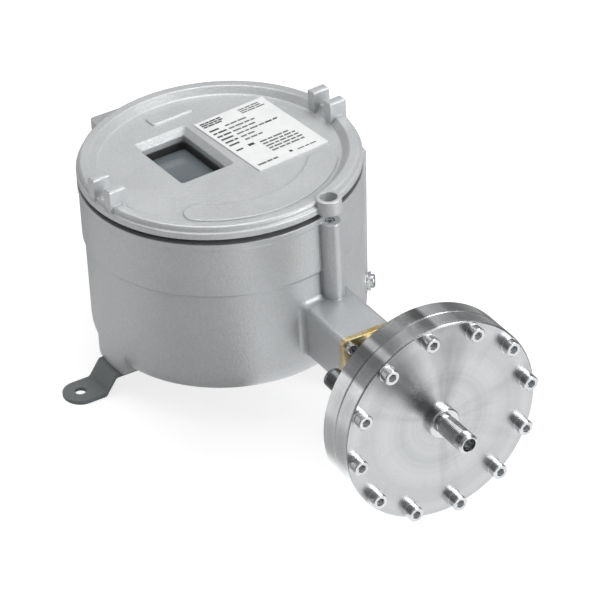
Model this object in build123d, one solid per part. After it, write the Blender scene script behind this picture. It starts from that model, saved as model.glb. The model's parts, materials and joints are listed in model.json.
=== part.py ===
from build123d import *
import math
import os

# Differential pressure switch in a round cast pot, with a square arm that carries a flanged
# pressure capsule. Millimetres. +Z is the pot's axis and points out of the wall that the feet
# bolt to, the arm points along -Y, and the origin is on the pot's axis in the feet's plane.

# Pot
POT_R = 88.0            # lower wall
POT_UPPER_R = 89.5      # wall above the step line
COLLAR_R = 90.0         # collar under the lid, as wide as the lid
COLLAR_H = 4.0
POT_H = 114.5           # from the underside to the collar's top
STEP_H = 75.0           # height of the step line above the underside
STEP_RISE = 2.0
POT_ROUND = 17.0        # radius round the underside
WALL = 8.0
FLOOR_T = 8.0
MOUTH_R = 76.0          # bore that takes the lid's thread
MOUTH_DEPTH = 15.0

# Feet
FOOT_COUNT = 3
FOOT_T = 3.0
FOOT_W = 23.0
FOOT_DROP = 11.0        # from the pot's underside to the top of the pad, less the strap
FOOT_HOLE_R = 3.75
FOOT_REACH = 22.5       # from the pot's wall to the hole
FOOT_PCD_R = POT_R + FOOT_REACH
FOOT_INNER_R = 62.0
FOOT_SEAT_W = 34.0
FOOT_SEAT_EDGE = 4.0
FOOT_SCREW_R = 2.5
FOOT_SCREW_PLACES = (69.0, 80.0)

# Arm and the pressure capsule at its end
SENSOR_X = 22.5
SENSOR_Z = 52.0
ARM = 36.5
ARM_EDGE = 4.0
ARM_END = 133.5         # distance of the arm's end face from the pot's axis
ARM_BORE_R = 13.0
PLATE_T = 4.0
PLATE_OVER = 0.7
PLATE_SCREW_OFF = 14.0
PLATE_SCREW_R = 2.0
NECK_L = 55.0
NECK_R = 12.0
NECK_FLANGE_R = 15.8
NECK_FLANGE_T = 4.0
NECK_SPIGOT_R = 9.5
NECK_SPIGOT_L = 8.0
NECK_HEX = 27.0
NECK_HEX_L = 12.0
FLANGE_R = 67.0
FLANGE_T = 13.4
FLANGE_EDGE = 0.8
SEAM = 0.7
CHAMBER_R = 40.0
CHAMBER_DEPTH = 5.0
DIAPHRAGM_R = 46.0
DIAPHRAGM_T = 0.4
PRESS_PLATE_R = 26.0
PRESS_PLATE_T = 2.0
ROD_SEAL_R = 7.0
ROD_SEAL_L = 3.0
BOLTS = 12
BOLT_CIRCLE_R = 61.0
BOLT_TURN = -6.67      # first screw off the top, degrees
BOLT_R = 3.0
BOLT_HEAD_R = 5.0
BOLT_HEAD_H = 6.0
WASHER_R = 5.4
WASHER_T = 1.4
ORING_R = 51.0
ORING_SECTION_R = 1.3

# Pressure ports, G1/4 outside
PORT_R = 6.58
PORT_L = 32.0
LOW_PORT_L = 36.0
PORT_COLLAR_R = 10.4
PORT_COLLAR_L = 5.0
PORT_BORE_R = 4.5
PORT_SPIGOT_R = 5.5
PORT_SPIGOT_L = 6.0
PORT_PASSAGE_R = 2.0
LOW_PORT_DX = -38.5
LOW_PORT_DZ = 12.0

# Lid
LID_TURN = 4.0          # where the thread happens to stop, degrees
LID_GAP = 4.0           # dark gap between collar and lid, where the seal shows
LID_SKIRT = 8.0
LIP_STEP = 1.7          # lid's rim stands in from its lower edge by this much
LIP_H = 4.4
LIP_R = COLLAR_R - LIP_STEP
CREST_ROUND = 1.6
LID_RECESS = 4.5
LID_PLATE_T = 12.0
CREST_W = 6.7
CREST_IN_R = LIP_R - CREST_W
CREST_SLOPE = 4.3
RECESS_R = CREST_IN_R - CREST_SLOPE
THREAD_CLEAR = 0.3
SPIGOT_L = 14.0
SPIGOT_IN_R = 69.0
LID_PITCH = 2.0
SEAL_OUT = 6.0          # seal's middle outside the bore that takes the thread
SEAL_R = MOUTH_R + SEAL_OUT
SEAL_SECTION_R = 2.6
SEAL_GROOVE = 1.3
LUG_GAP = 11.6
LUG_T = 6.6
LUG_L = 12.0
LUG_OUT = LIP_R + 0.5
LUG_H = 10.6
EAR_ANGLE = -72.4       # where the ear stands over the column, degrees from +X
EAR_R = 8.2
EAR_HOLE_R = 5.5
EAR_CENTRE_R = 91.5
EAR_RISE = 1.5
EAR_DROP = 0.5
COLUMN_R = 7.2
COLUMN_DOWN = 3.5       # column's top below the collar's top
LOCK_R = 3.0
LOCK_L = 18.0
LOCK_DOWN = 0.5         # grub screw's top below the column's top
BAND_IN_R = 55.5
BAND_OUT_R = 74.6
BAND_H = 1.0
BAND_START = -135.0
BAND_SWEEP = 93.5
CAST_PAD = (30.0, 10.0)
CAST_PAD_AT = (3.9, 63.2)
CAST_PAD_H = 1.2

# Window in the lid, in the lid's own directions
WINDOW = (39.3, 58.2)
WINDOW_AT = (-14.9, 18.1)
WINDOW_TURN = -1.0
WINDOW_TAPER = 3.6
WINDOW_TAPER_H = 4.2
WINDOW_WALL_H = 8.6
GLASS_T = 8.0
GLASS_EDGE = 6.0        # glass beyond the opening, each side
GLASS_CLEAR = 0.3
GASKET_T = 0.5
GASKET_W = 4.0
BOSS_X = 8.6
BOSS_Y = 3.6
RETAINER_T = 2.5
RETAINER_LAND = 2.0
RETAINER_SCREW_R = 1.5
RETAINER_SCREW_Y = 20.0
LABEL = (53.1, 72.4)
LABEL_AT = (36.4, 7.1)
LABEL_TURN = 1.2
LABEL_T = 0.8

# Flat pads on the wall for the cable entries
SIDE_PAD_X = 89.6
SIDE_TAPER = 3.6        # side pad leans in by this much from its top to its bottom
SIDE_SEAT_X = 87.0      # spot face under the plug
SIDE_PAD_W = 60.0
BACK_PAD_Y = 106.0
BACK_PAD_W = 72.0
PAD_DOWN = 3.0          # pads' tops below the collar's top
PAD_BOTTOM = 14.5       # pads' bottoms above the underside
ENTRY_Z = 70.0
ENTRY_R = 9.25
ENTRY_HEAD = 2.8        # spot face beyond the plug's thread
FIT = 0.05              # radial clearance of screws and plugs in their threads
GLAND_HEX = 24.0
GLAND_BODY_L = 14.0
GLAND_NUT_L = 16.0
GLAND_SEAL_R = 7.0
GLAND_BORE_R = 5.0

# Earth terminal on the wall
EARTH_ANGLE = -34.0
EARTH_Z = 43.0
EARTH_BOSS_R = 8.0
EARTH_BOSS_OUT = 0.5
EARTH_SCREW_R = 2.5

# Switch mechanism inside the pot
CHASSIS = (118.0, 112.0)
CHASSIS_T = 2.5
CHASSIS_ROUND = 12.0
BOSS_H = 5.0            # bosses that the chassis and the inner earth screw stand on
BOSS_R = 6.0
CHASSIS_BOSS_AT = (42.0, 45.0)
INNER_EARTH_X = -68.0
SCREW_R = 2.0
TAB_Y = 52.0
TAB_W = 30.0
TAB_H = 38.0
RUN_CLEAR = 0.3         # clearance between pieces that move past each other
ROD_R = 4.0
ROD_TRAVEL = 0.6
LEVER_Y = -14.0
LEVER_T = 5.0
LEVER_H = 10.0
LEVER_TIP_X = -25.0
PIVOT_X = 50.5
PIVOT_R = 2.5
PIVOT_SHOULDER_R = 4.5
PIVOT_HUB_R = 6.5
CLIP_T = 1.0
SPRING_R = 8.0
SPRING_WIRE_R = 1.0
SPRING_TURNS = 6.0
SPRING_SEAT_H = 2.0
SPINDLE_R = 3.0
SPINDLE_TIP_Y = -6.0
SPINDLE_COLLAR_R = 5.0
SPINDLE_COLLAR_L = 3.0
SPINDLE_HEAD_R = 7.0
SPINDLE_HEAD_L = 5.0
NUT_Y = 17.0
NUT_L = 10.0
NUT_W = 22.0
NUT_H = 18.0
NUT_TRAVEL = 12.0
KEEL_W = 10.0
POINTER_T = 1.0
POINTER_W = 8.0
POINTER_REACH = 24.0
SCALE_Z = 104.0
SCALE_T = 1.0
SCALE = (52.0, 76.0)
SCALE_AT = (-18.0, 17.0)
SCALE_POSTS = ((-40.5, 22.0), (3.0, 51.5))
POST_R = 2.5
TICKS = 9
SWITCH = (28.0, 16.0, 10.3)
BUTTON_X = -19.5
BUTTON = 3.2
BUTTON_OUT = 3.0
SWITCH_SCREW_OFF = 11.1
SWITCH_SCREW_R = 1.5
BLADE = (4.8, 6.0, 0.6)
BLADE_PITCH = 8.0
SHELF_T = 3.0
SHELF_FOOT = 8.0
TERMINAL = (44.0, 20.0, 18.0)
TERMINAL_AT = (-15.0, 38.0)
TERMINAL_PITCH = 9.0
TERMINALS = 4
WIRE_R = 1.1
WIRE_Z = 5.0            # wire holes above the deck

# Heights worked out from the sizes above
POT_Z = FOOT_T + FOOT_DROP
RIM_Z = POT_Z + POT_H
FLOOR_Z = POT_Z + FLOOR_T
SKIRT_Z = RIM_Z + LID_GAP
CREST_Z = SKIRT_Z + LID_SKIRT
FACE_Z = CREST_Z - LID_RECESS
UNDER_Z = FACE_Z - LID_PLATE_T
INNER_R = POT_R - WALL
CHASSIS_Z = FLOOR_Z + BOSS_H
DECK_Z = CHASSIS_Z + CHASSIS_T
PLATE_Y = -ARM_END - PLATE_T
REAR_Y = PLATE_Y - NECK_L
SEAM_Y = REAR_Y - FLANGE_T
FRONT_Y = SEAM_Y - FLANGE_T
LEVER_FACE_Y = LEVER_Y + LEVER_T / 2
SWITCH_Y = LEVER_FACE_Y + RUN_CLEAR + BUTTON_OUT
THROAT = (WINDOW[0] - 2 * WINDOW_TAPER, WINDOW[1] - 2 * WINDOW_TAPER)
POCKET = (THROAT[0] + 2 * GLASS_EDGE, THROAT[1] + 2 * GLASS_EDGE)
BOSS = (POCKET[0] + 2 * BOSS_X, POCKET[1] + 2 * BOSS_Y)
TAPER_Z = FACE_Z - WINDOW_TAPER_H
POCKET_Z = TAPER_Z - WINDOW_WALL_H
GLASS_TOP_Z = POCKET_Z - GASKET_T
GLASS_LOW_Z = GLASS_TOP_Z - GLASS_T

os.makedirs("parts", exist_ok=True)


def save(name, shape):
    export_step(shape, "parts/" + name + ".step")


def group(pieces):
    """Several separate solids as one node."""
    return Compound([solid for piece in pieces for solid in piece.solids()])


def upright(r, z0, z1, x=0.0, y=0.0):
    """Cylinder along Z between two heights."""
    return Pos(x, y, (z0 + z1) / 2) * Cylinder(r, z1 - z0)


def along_y(r, y0, y1, x, z):
    """Cylinder along Y between two places."""
    low, high = min(y0, y1), max(y0, y1)
    return Pos(x, (low + high) / 2, z) * Rot(90, 0, 0) * Cylinder(r, high - low)


def prism_y(flats, y0, y1, x, z, turn=0.0):
    """Hexagonal bar along Y, given its size across the flats."""
    outline = Plane(origin=(x, y0, z), z_dir=(0, 1, 0)) * Rot(0, 0, turn)
    return extrude(outline * RegularPolygon(flats / 2, 6, major_radius=False), y1 - y0)


def block(x0, x1, y0, y1, z0, z1):
    middle = Pos((x0 + x1) / 2, (y0 + y1) / 2, (z0 + z1) / 2)
    return middle * Box(x1 - x0, y1 - y0, z1 - z0)


def turned(points):
    """Solid of revolution about Z from a closed outline in radius and height."""
    outline = Polyline(*[(r, 0, z) for r, z in points], close=True)
    return revolve(make_face(outline), Axis.Z)


def polar(radius, degrees):
    return radius * math.cos(math.radians(degrees)), radius * math.sin(math.radians(degrees))


def socket_screw(head_r, head_h, shank_r, shank_l, socket):
    """Cap screw along Z: head above z = 0 with a hexagon socket, shank below."""
    head = Pos(0, 0, head_h / 2) * Cylinder(head_r, head_h)
    head = chamfer(head.faces().sort_by(Axis.Z)[-1].edges(), head_r * 0.12)
    key = Pos(0, 0, head_h * 0.35) * extrude(RegularPolygon(socket / 2, 6, major_radius=False), head_h)
    return head - key + Pos(0, 0, -shank_l / 2) * Cylinder(shank_r, shank_l)


def slotted_screw(head_r, head_h, shank_r, shank_l):
    """Round-headed screw along Z with a slot in its head."""
    head = Pos(0, 0, head_h / 2) * Cylinder(head_r, head_h)
    head = fillet(head.faces().sort_by(Axis.Z)[-1].edges(), head_h * 0.45)
    slot = Pos(0, 0, head_h) * Box(head_r * 2.2, head_r * 0.28, head_h * 0.7)
    return head - slot + Pos(0, 0, -shank_l / 2) * Cylinder(shank_r, shank_l)


def placed(shape, at, direction):
    """Puts a piece made along Z at a point, with its +Z along a direction."""
    return Plane(origin=at, z_dir=direction).location * shape


def foot_angles():
    return [180.0 + k * 360.0 / FOOT_COUNT for k in range(FOOT_COUNT)]


# Cast pot with its arm

def housing_outside():
    step_z = POT_Z + STEP_H
    pot = turned([
        (0, POT_Z), (POT_R, POT_Z), (POT_R, step_z), (POT_UPPER_R, step_z + STEP_RISE),
        (POT_UPPER_R, RIM_Z - COLLAR_H - 1), (COLLAR_R, RIM_Z - COLLAR_H), (COLLAR_R, RIM_Z), (0, RIM_Z),
    ])
    lowest = pot.edges().filter_by(GeomType.CIRCLE).sort_by(Axis.Z)[0]
    pot = fillet(lowest, POT_ROUND)
    arm = block(SENSOR_X - ARM / 2, SENSOR_X + ARM / 2, -ARM_END, -POT_R * 0.6,
                SENSOR_Z - ARM / 2, SENSOR_Z + ARM / 2)
    arm = fillet(arm.edges().filter_by(Axis.Y), ARM_EDGE)
    body = pot + arm
    root = [e for e in body.edges().filter_by_position(Axis.Y, -POT_R - 2, -POT_R * 0.75)
            if e.bounding_box().max.Z < SENSOR_Z + ARM / 2 + 1
            and e.bounding_box().min.Z > SENSOR_Z - ARM / 2 - 1
            and e.bounding_box().min.X > SENSOR_X - ARM / 2 - 1
            and e.bounding_box().max.X < SENSOR_X + ARM / 2 + 1]
    body = fillet(root, ARM_EDGE)
    low, high = POT_Z + PAD_BOTTOM, RIM_Z - PAD_DOWN
    lean = [(POT_R * 0.7, low), (SIDE_PAD_X - SIDE_TAPER, low), (SIDE_PAD_X, high), (POT_R * 0.7, high)]
    side = extrude(make_face(Polyline(*[(x, 0, z) for x, z in lean], close=True)), SIDE_PAD_W / 2,
                   dir=(0, 1, 0), both=True)
    back = block(-BACK_PAD_W / 2, BACK_PAD_W / 2, POT_R * 0.7, BACK_PAD_Y, low, high)
    side = chamfer(side.faces().sort_by(Axis.X)[-1].edges(), 1.5)
    back = fillet(back.edges().filter_by(Axis.Z), 3.0)
    back = fillet(back.faces().sort_by(Axis.Y)[-1].edges().sort_by(Axis.Z)[0], 8.0)
    x, y = polar(EAR_CENTRE_R, EAR_ANGLE)
    column = upright(COLUMN_R, SENSOR_Z, RIM_Z - COLUMN_DOWN, x, y)
    column = fillet(column.faces().sort_by(Axis.Z)[-1].edges(), 0.8)
    body = body + side + back + column
    for angle in foot_angles():
        seat = block(POT_R * 0.6, POT_R, -FOOT_SEAT_W / 2, FOOT_SEAT_W / 2, POT_Z, POT_Z + POT_ROUND * 1.5)
        seat = fillet(seat.edges().filter_by(Axis.X).sort_by(Axis.Z)[:2], FOOT_SEAT_EDGE)
        body = body + (Rot(0, 0, angle) * seat & upright(POT_R, POT_Z, POT_Z + POT_ROUND * 2))
    boss = placed(Pos(0, 0, -5) * Cylinder(EARTH_BOSS_R, 10),
                  (*polar(POT_R + EARTH_BOSS_OUT, EARTH_ANGLE), EARTH_Z), (*polar(1, EARTH_ANGLE), 0))
    return body + boss


def housing():
    body = housing_outside()
    cavity = turned([
        (0, FLOOR_Z), (INNER_R, FLOOR_Z), (INNER_R, RIM_Z - MOUTH_DEPTH - 4), (MOUTH_R, RIM_Z - MOUTH_DEPTH),
        (MOUTH_R, RIM_Z + 1), (0, RIM_Z + 1),
    ])
    cavity = fillet(cavity.edges().filter_by(GeomType.CIRCLE).sort_by(Axis.Z)[0], POT_ROUND - WALL)
    body = body - cavity
    body = body - along_y(ARM_BORE_R, -ARM_END - 1, -INNER_R * 0.9, SENSOR_X, SENSOR_Z)
    for x, z in plate_screw_places():
        body = body - along_y(PLATE_SCREW_R + FIT, -ARM_END - 1, -ARM_END + 12, x, z)
    for x, y in chassis_screw_places() + [(INNER_EARTH_X, 0)]:
        body += upright(BOSS_R, FLOOR_Z - 1, CHASSIS_Z, x, y)
        body -= upright(SCREW_R + FIT, FLOOR_Z, CHASSIS_Z + 1, x, y)
    body = body - along_y(ENTRY_R, INNER_R * 0.9, BACK_PAD_Y + 1, 0, ENTRY_Z)
    depth = SIDE_SEAT_X - INNER_R * 0.9
    drill = Pos(0, 0, -depth / 2) * Cylinder(ENTRY_R, depth) + Pos(0, 0, 2) * Cylinder(ENTRY_R + ENTRY_HEAD, 4)
    body = body - placed(drill, (SIDE_SEAT_X, 0, ENTRY_Z), (1, 0, 0))
    x, y = polar(EAR_CENTRE_R, EAR_ANGLE)
    body = body - upright(LOCK_R + RUN_CLEAR, RIM_Z - COLUMN_DOWN - LOCK_L - 8, RIM_Z + 1, x, y)
    for angle in foot_angles():
        for place in FOOT_SCREW_PLACES:
            x, y = polar(place, angle)
            body = body - upright(FOOT_SCREW_R + FIT, POT_Z - 1, POT_Z + FLOOR_T - 1.5, x, y)
    drill = Pos(0, 0, -4) * Cylinder(EARTH_SCREW_R + FIT, 10)
    return body - placed(drill, (*polar(POT_R + EARTH_BOSS_OUT, EARTH_ANGLE), EARTH_Z),
                         (*polar(1, EARTH_ANGLE), 0))


def plate_screw_places():
    return [(SENSOR_X + sx * PLATE_SCREW_OFF, SENSOR_Z + sz * PLATE_SCREW_OFF)
            for sx in (-1, 1) for sz in (-1, 1)]


# Feet

def foot_strap(angle):
    """Strap with two bends, cut from flat bar: a seat under the pot, a slope and a round-ended pad."""
    bend_in = POT_R + 2
    bend_out = FOOT_PCD_R - FOOT_W / 2 - 1
    end = FOOT_PCD_R + FOOT_W / 2
    top = [(FOOT_INNER_R, POT_Z), (bend_in, POT_Z), (bend_out, FOOT_T), (end, FOOT_T)]
    run = [(x, z - FOOT_T) for x, z in top]
    section = make_face(Polyline(*[(x, 0, z) for x, z in top + run[::-1]], close=True))
    strap = extrude(section, FOOT_W / 2, dir=(0, 1, 0), both=True)
    bends = [e for e in strap.edges().filter_by(Axis.Y)
             if bend_in - 1 < e.center().X < bend_out + 1]
    strap = fillet(bends, FOOT_T * 0.8)
    outline = Pos(FOOT_PCD_R, 0) * Circle(FOOT_W / 2)
    outline += Pos((FOOT_INNER_R + FOOT_PCD_R) / 2, 0) * Rectangle(FOOT_PCD_R - FOOT_INNER_R, FOOT_W)
    strap = strap & extrude(outline, POT_Z + 1)
    strap = strap - upright(FOOT_HOLE_R, -1, FOOT_T + 1, FOOT_PCD_R, 0)
    for place in FOOT_SCREW_PLACES:
        strap = strap - upright(FOOT_SCREW_R + 0.3, POT_Z - FOOT_T - 1, POT_Z + 1, place, 0)
    return Rot(0, 0, angle) * strap


def foot_screws():
    screw = Rot(180, 0, 0) * socket_screw(4.2, 3.4, FOOT_SCREW_R, FOOT_T + FLOOR_T - 3, 3.5)
    return group(Pos(*polar(place, angle), POT_Z - FOOT_T) * screw
                 for angle in foot_angles() for place in FOOT_SCREW_PLACES)


# Earth terminal

def earth_terminal():
    direction = (*polar(1, EARTH_ANGLE), 0)
    seat = POT_R + EARTH_BOSS_OUT
    washer_t, clamp_t = 1.0, 1.4
    washer = Pos(0, 0, washer_t / 2) * (Cylinder(5.6, washer_t) - Cylinder(EARTH_SCREW_R + 0.2, washer_t))
    clamp = Pos(0, 0, washer_t + clamp_t / 2) * (Box(9.5, 9.5, clamp_t) - Cylinder(EARTH_SCREW_R + 0.2, clamp_t))
    clamp = fillet(clamp.edges().filter_by(Axis.Z).sort_by(SortBy.DISTANCE)[-4:], 1.2)
    screw = Pos(0, 0, washer_t + clamp_t) * slotted_screw(4.4, 2.8, EARTH_SCREW_R, washer_t + clamp_t + 5)
    at = (*polar(seat, EARTH_ANGLE), EARTH_Z)
    save("earth_washer", placed(washer, at, direction))
    save("earth_clamp", placed(clamp, at, direction))
    save("earth_screw", placed(screw, at, direction))


# Cable entries

def entry_plug():
    thread = Pos(0, 0, -4) * Cylinder(ENTRY_R - FIT, 8)
    head = Pos(0, 0, 1.25) * Cylinder(ENTRY_R + ENTRY_HEAD - 0.5, 2.5)
    head = chamfer(head.faces().sort_by(Axis.Z)[-1].edges(), 0.6)
    plug = thread + head - Pos(0, 0, -2.5) * extrude(RegularPolygon(5, 6, major_radius=False), 6)
    return placed(plug, (SIDE_SEAT_X, 0, ENTRY_Z), (1, 0, 0))


def gland():
    face = BACK_PAD_Y
    hex_l = 6.0
    nut_y = face + hex_l + 1
    body = along_y(ENTRY_R - FIT, face - 12, face, 0, ENTRY_Z)
    body += prism_y(GLAND_HEX, face, face + hex_l, 0, ENTRY_Z)
    body += along_y(9, face + hex_l, face + GLAND_BODY_L, 0, ENTRY_Z)
    body -= along_y(GLAND_SEAL_R, face + 2, face + GLAND_BODY_L + 1, 0, ENTRY_Z)
    body -= along_y(GLAND_BORE_R + 1, face - 13, face + 3, 0, ENTRY_Z)
    nut_end = nut_y + GLAND_NUT_L
    nut = prism_y(GLAND_HEX, nut_y, nut_y + 10, 0, ENTRY_Z) + along_y(11, nut_y + 10, nut_end, 0, ENTRY_Z)
    nut = fillet(nut.faces().sort_by(Axis.Y)[-1].edges(), 3)
    nut -= along_y(9 + FIT, nut_y - 1, face + GLAND_BODY_L + 0.1, 0, ENTRY_Z)
    nut -= along_y(GLAND_SEAL_R, nut_y, nut_end - 2.5, 0, ENTRY_Z)
    nut -= along_y(GLAND_BORE_R + 1, nut_y, nut_end + 1, 0, ENTRY_Z)
    seal = along_y(GLAND_SEAL_R - FIT, face + 2, nut_end - 2.5, 0, ENTRY_Z)
    seal -= along_y(GLAND_BORE_R, face, nut_end, 0, ENTRY_Z)
    save("gland_body", body)
    save("gland_nut", nut)
    save("gland_seal", seal)


# Adapter plate, neck and pressure capsule

def adapter_plate():
    size = ARM + 2 * PLATE_OVER
    plate = block(SENSOR_X - size / 2, SENSOR_X + size / 2, PLATE_Y, -ARM_END,
                  SENSOR_Z - size / 2, SENSOR_Z + size / 2)
    plate = fillet(plate.edges().filter_by(Axis.Y), ARM_EDGE)
    plate = chamfer(plate.faces().sort_by(Axis.Y)[0].edges(), 0.4)
    plate -= along_y(NECK_SPIGOT_R + FIT, PLATE_Y - 1, -ARM_END + 1, SENSOR_X, SENSOR_Z)
    for x, z in plate_screw_places():
        plate -= along_y(PLATE_SCREW_R + 0.2, PLATE_Y - 1, -ARM_END + 1, x, z)
    return plate


def adapter_screws():
    screw = socket_screw(3.5, 4.0, PLATE_SCREW_R, PLATE_T + 10, 3.0)
    return group(placed(screw, (x, PLATE_Y, z), (0, -1, 0)) for x, z in plate_screw_places())


def neck_tube():
    hex_start = REAR_Y + 4
    neck = along_y(NECK_SPIGOT_R, -ARM_END + 4, PLATE_Y, SENSOR_X, SENSOR_Z)
    neck += along_y(NECK_FLANGE_R, PLATE_Y, PLATE_Y - NECK_FLANGE_T, SENSOR_X, SENSOR_Z)
    neck += along_y(NECK_R, PLATE_Y - NECK_FLANGE_T, REAR_Y, SENSOR_X, SENSOR_Z)
    neck += prism_y(NECK_HEX, hex_start, hex_start + NECK_HEX_L, SENSOR_X, SENSOR_Z)
    neck += along_y(NECK_SPIGOT_R, REAR_Y, REAR_Y - NECK_SPIGOT_L, SENSOR_X, SENSOR_Z)
    neck -= along_y(ROD_R + RUN_CLEAR, REAR_Y - NECK_SPIGOT_L - 1, -ARM_END + 5, SENSOR_X, SENSOR_Z)
    neck -= along_y(ROD_SEAL_R + FIT, REAR_Y - NECK_SPIGOT_L - 1, REAR_Y - NECK_SPIGOT_L + ROD_SEAL_L,
                    SENSOR_X, SENSOR_Z)
    return neck


def rod_seal():
    start = REAR_Y - NECK_SPIGOT_L
    ring = along_y(ROD_SEAL_R, start, start + ROD_SEAL_L, SENSOR_X, SENSOR_Z)
    return ring - along_y(ROD_R + RUN_CLEAR, start - 1, start + ROD_SEAL_L + 1, SENSOR_X, SENSOR_Z)


def bolt_places():
    angles = [math.radians(BOLT_TURN + k * 360 / BOLTS) for k in range(BOLTS)]
    return [(SENSOR_X + BOLT_CIRCLE_R * math.sin(a), SENSOR_Z + BOLT_CIRCLE_R * math.cos(a)) for a in angles]


def flange_disc(outer_y, seam_y):
    disc = along_y(FLANGE_R, outer_y, seam_y, SENSOR_X, SENSOR_Z)
    outer, seam = (0, -1) if outer_y < seam_y else (-1, 0)
    disc = chamfer(disc.edges().filter_by(GeomType.CIRCLE).sort_by(Axis.Y)[outer], FLANGE_EDGE)
    return chamfer(disc.edges().filter_by(GeomType.CIRCLE).sort_by(Axis.Y)[seam], SEAM)


def rear_flange():
    disc = flange_disc(REAR_Y, SEAM_Y)
    disc -= along_y(CHAMBER_R, SEAM_Y, SEAM_Y + CHAMBER_DEPTH, SENSOR_X, SENSOR_Z)
    disc -= along_y(DIAPHRAGM_R + RUN_CLEAR, SEAM_Y, SEAM_Y + DIAPHRAGM_T, SENSOR_X, SENSOR_Z)
    disc -= along_y(NECK_SPIGOT_R + FIT, SEAM_Y, REAR_Y + 1, SENSOR_X, SENSOR_Z)
    x, z = SENSOR_X + LOW_PORT_DX, SENSOR_Z + LOW_PORT_DZ
    disc -= along_y(PORT_SPIGOT_R + FIT, REAR_Y - PORT_SPIGOT_L - 0.5, REAR_Y + 1, x, z)
    start = Vector(x, REAR_Y - PORT_SPIGOT_L, z)
    inward = Vector(SENSOR_X - x, 0, SENSOR_Z - z).normalized()
    end = start + inward * PORT_COLLAR_R + Vector(0, SEAM_Y + CHAMBER_DEPTH / 2 - start.Y, 0)
    bore = Pos(0, 0, (end - start).length / 2) * Cylinder(PORT_PASSAGE_R, (end - start).length)
    disc -= placed(bore, start, end - start)
    for bx, bz in bolt_places():
        disc -= along_y(BOLT_R + FIT, SEAM_Y - 1, REAR_Y - 2, bx, bz)
    return disc


def front_flange():
    disc = flange_disc(FRONT_Y, SEAM_Y)
    disc -= along_y(CHAMBER_R, SEAM_Y - CHAMBER_DEPTH, SEAM_Y, SENSOR_X, SENSOR_Z)
    disc -= along_y(PORT_SPIGOT_R + FIT, FRONT_Y - 1, FRONT_Y + PORT_SPIGOT_L + 0.5, SENSOR_X, SENSOR_Z)
    disc -= along_y(PORT_PASSAGE_R, FRONT_Y, SEAM_Y, SENSOR_X, SENSOR_Z)
    groove = ORING_SECTION_R * 1.2
    ring = (along_y(ORING_R + groove, SEAM_Y - 2 * ORING_SECTION_R, SEAM_Y, SENSOR_X, SENSOR_Z)
            - along_y(ORING_R - groove, SEAM_Y - 3 * ORING_SECTION_R, SEAM_Y + 1, SENSOR_X, SENSOR_Z))
    disc -= ring
    for bx, bz in bolt_places():
        disc -= along_y(BOLT_R + 0.3, FRONT_Y - 1, SEAM_Y + 1, bx, bz)
    return disc


def capsule_o_ring():
    ring = Torus(ORING_R, ORING_SECTION_R - 0.02)
    return placed(ring, (SENSOR_X, SEAM_Y - ORING_SECTION_R, SENSOR_Z), (0, 1, 0))


def diaphragm():
    """Thin disc clamped at its edge, with a hole for the centre plates' hub."""
    disc = along_y(DIAPHRAGM_R, SEAM_Y, SEAM_Y + DIAPHRAGM_T, SENSOR_X, SENSOR_Z)
    return disc - along_y(ROD_R + RUN_CLEAR, SEAM_Y - 1, SEAM_Y + 1, SENSOR_X, SENSOR_Z)


def push_rod():
    """Rod with a flat head in the front chamber, from the diaphragm back to the lever."""
    head_y = SEAM_Y - RUN_CLEAR - PRESS_PLATE_T
    tip_y = LEVER_Y - LEVER_T / 2 - RUN_CLEAR
    rod = along_y(ROD_R, head_y, tip_y, SENSOR_X, SENSOR_Z)
    rod = fillet(rod.faces().sort_by(Axis.Y)[-1].edges(), 1.5)
    return rod + along_y(PRESS_PLATE_R, head_y, head_y + PRESS_PLATE_T, SENSOR_X, SENSOR_Z)


def back_plate():
    """Plate behind the diaphragm, fast on the rod."""
    start = SEAM_Y + DIAPHRAGM_T + RUN_CLEAR
    disc = along_y(PRESS_PLATE_R, start, start + PRESS_PLATE_T, SENSOR_X, SENSOR_Z)
    return disc - along_y(ROD_R + FIT, start - 1, start + PRESS_PLATE_T + 1, SENSOR_X, SENSOR_Z)


def flange_screws():
    reach = FLANGE_T + WASHER_T + FLANGE_T - 4
    screw = socket_screw(BOLT_HEAD_R, BOLT_HEAD_H, BOLT_R, reach, 5.0)
    return group(placed(screw, (x, FRONT_Y - WASHER_T, z), (0, -1, 0)) for x, z in bolt_places())


def flange_washers():
    washer = Cylinder(WASHER_R, WASHER_T) - Cylinder(BOLT_R + 0.2, WASHER_T)
    return group(placed(washer, (x, FRONT_Y - WASHER_T / 2, z), (0, -1, 0)) for x, z in bolt_places())


def port(length):
    """Pressure port along +Z from its flange: spigot, hexagon collar, undercut and outside thread."""
    collar = extrude(RegularPolygon(PORT_COLLAR_R, 6, major_radius=False), PORT_COLLAR_L)
    collar &= Pos(0, 0, PORT_COLLAR_L / 2) * Cylinder(PORT_COLLAR_R, PORT_COLLAR_L)
    collar = chamfer(collar.faces().sort_by(Axis.Z)[-1].edges(), 0.8)
    tube = Pos(0, 0, length / 2) * Cylinder(PORT_R, length)
    tube = chamfer(tube.faces().sort_by(Axis.Z)[-1].edges(), 1.4)
    relief = Cylinder(PORT_R + 1, 2.4) - Cylinder(PORT_R - 0.9, 2.4)
    piece = collar + tube - Pos(0, 0, PORT_COLLAR_L + 1.2) * relief
    piece += Pos(0, 0, -PORT_SPIGOT_L / 2) * Cylinder(PORT_SPIGOT_R, PORT_SPIGOT_L)
    piece -= Pos(0, 0, length - 7) * Cylinder(PORT_BORE_R, 14.1)
    piece -= Pos(0, 0, length / 2) * Cylinder(PORT_PASSAGE_R, length * 2)
    return piece


# Lid and window, made square to the axes and then turned to where the thread stops

def lid_box(size, at, z0, z1, round_r):
    outline = Pos(at[0], at[1], z0) * RectangleRounded(size[0], size[1], round_r)
    return extrude(outline, z1 - z0)


def grown(size, by_x, by_y=None):
    by_y = by_x if by_y is None else by_y
    return size[0] + 2 * by_x, size[1] + 2 * by_y


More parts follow.
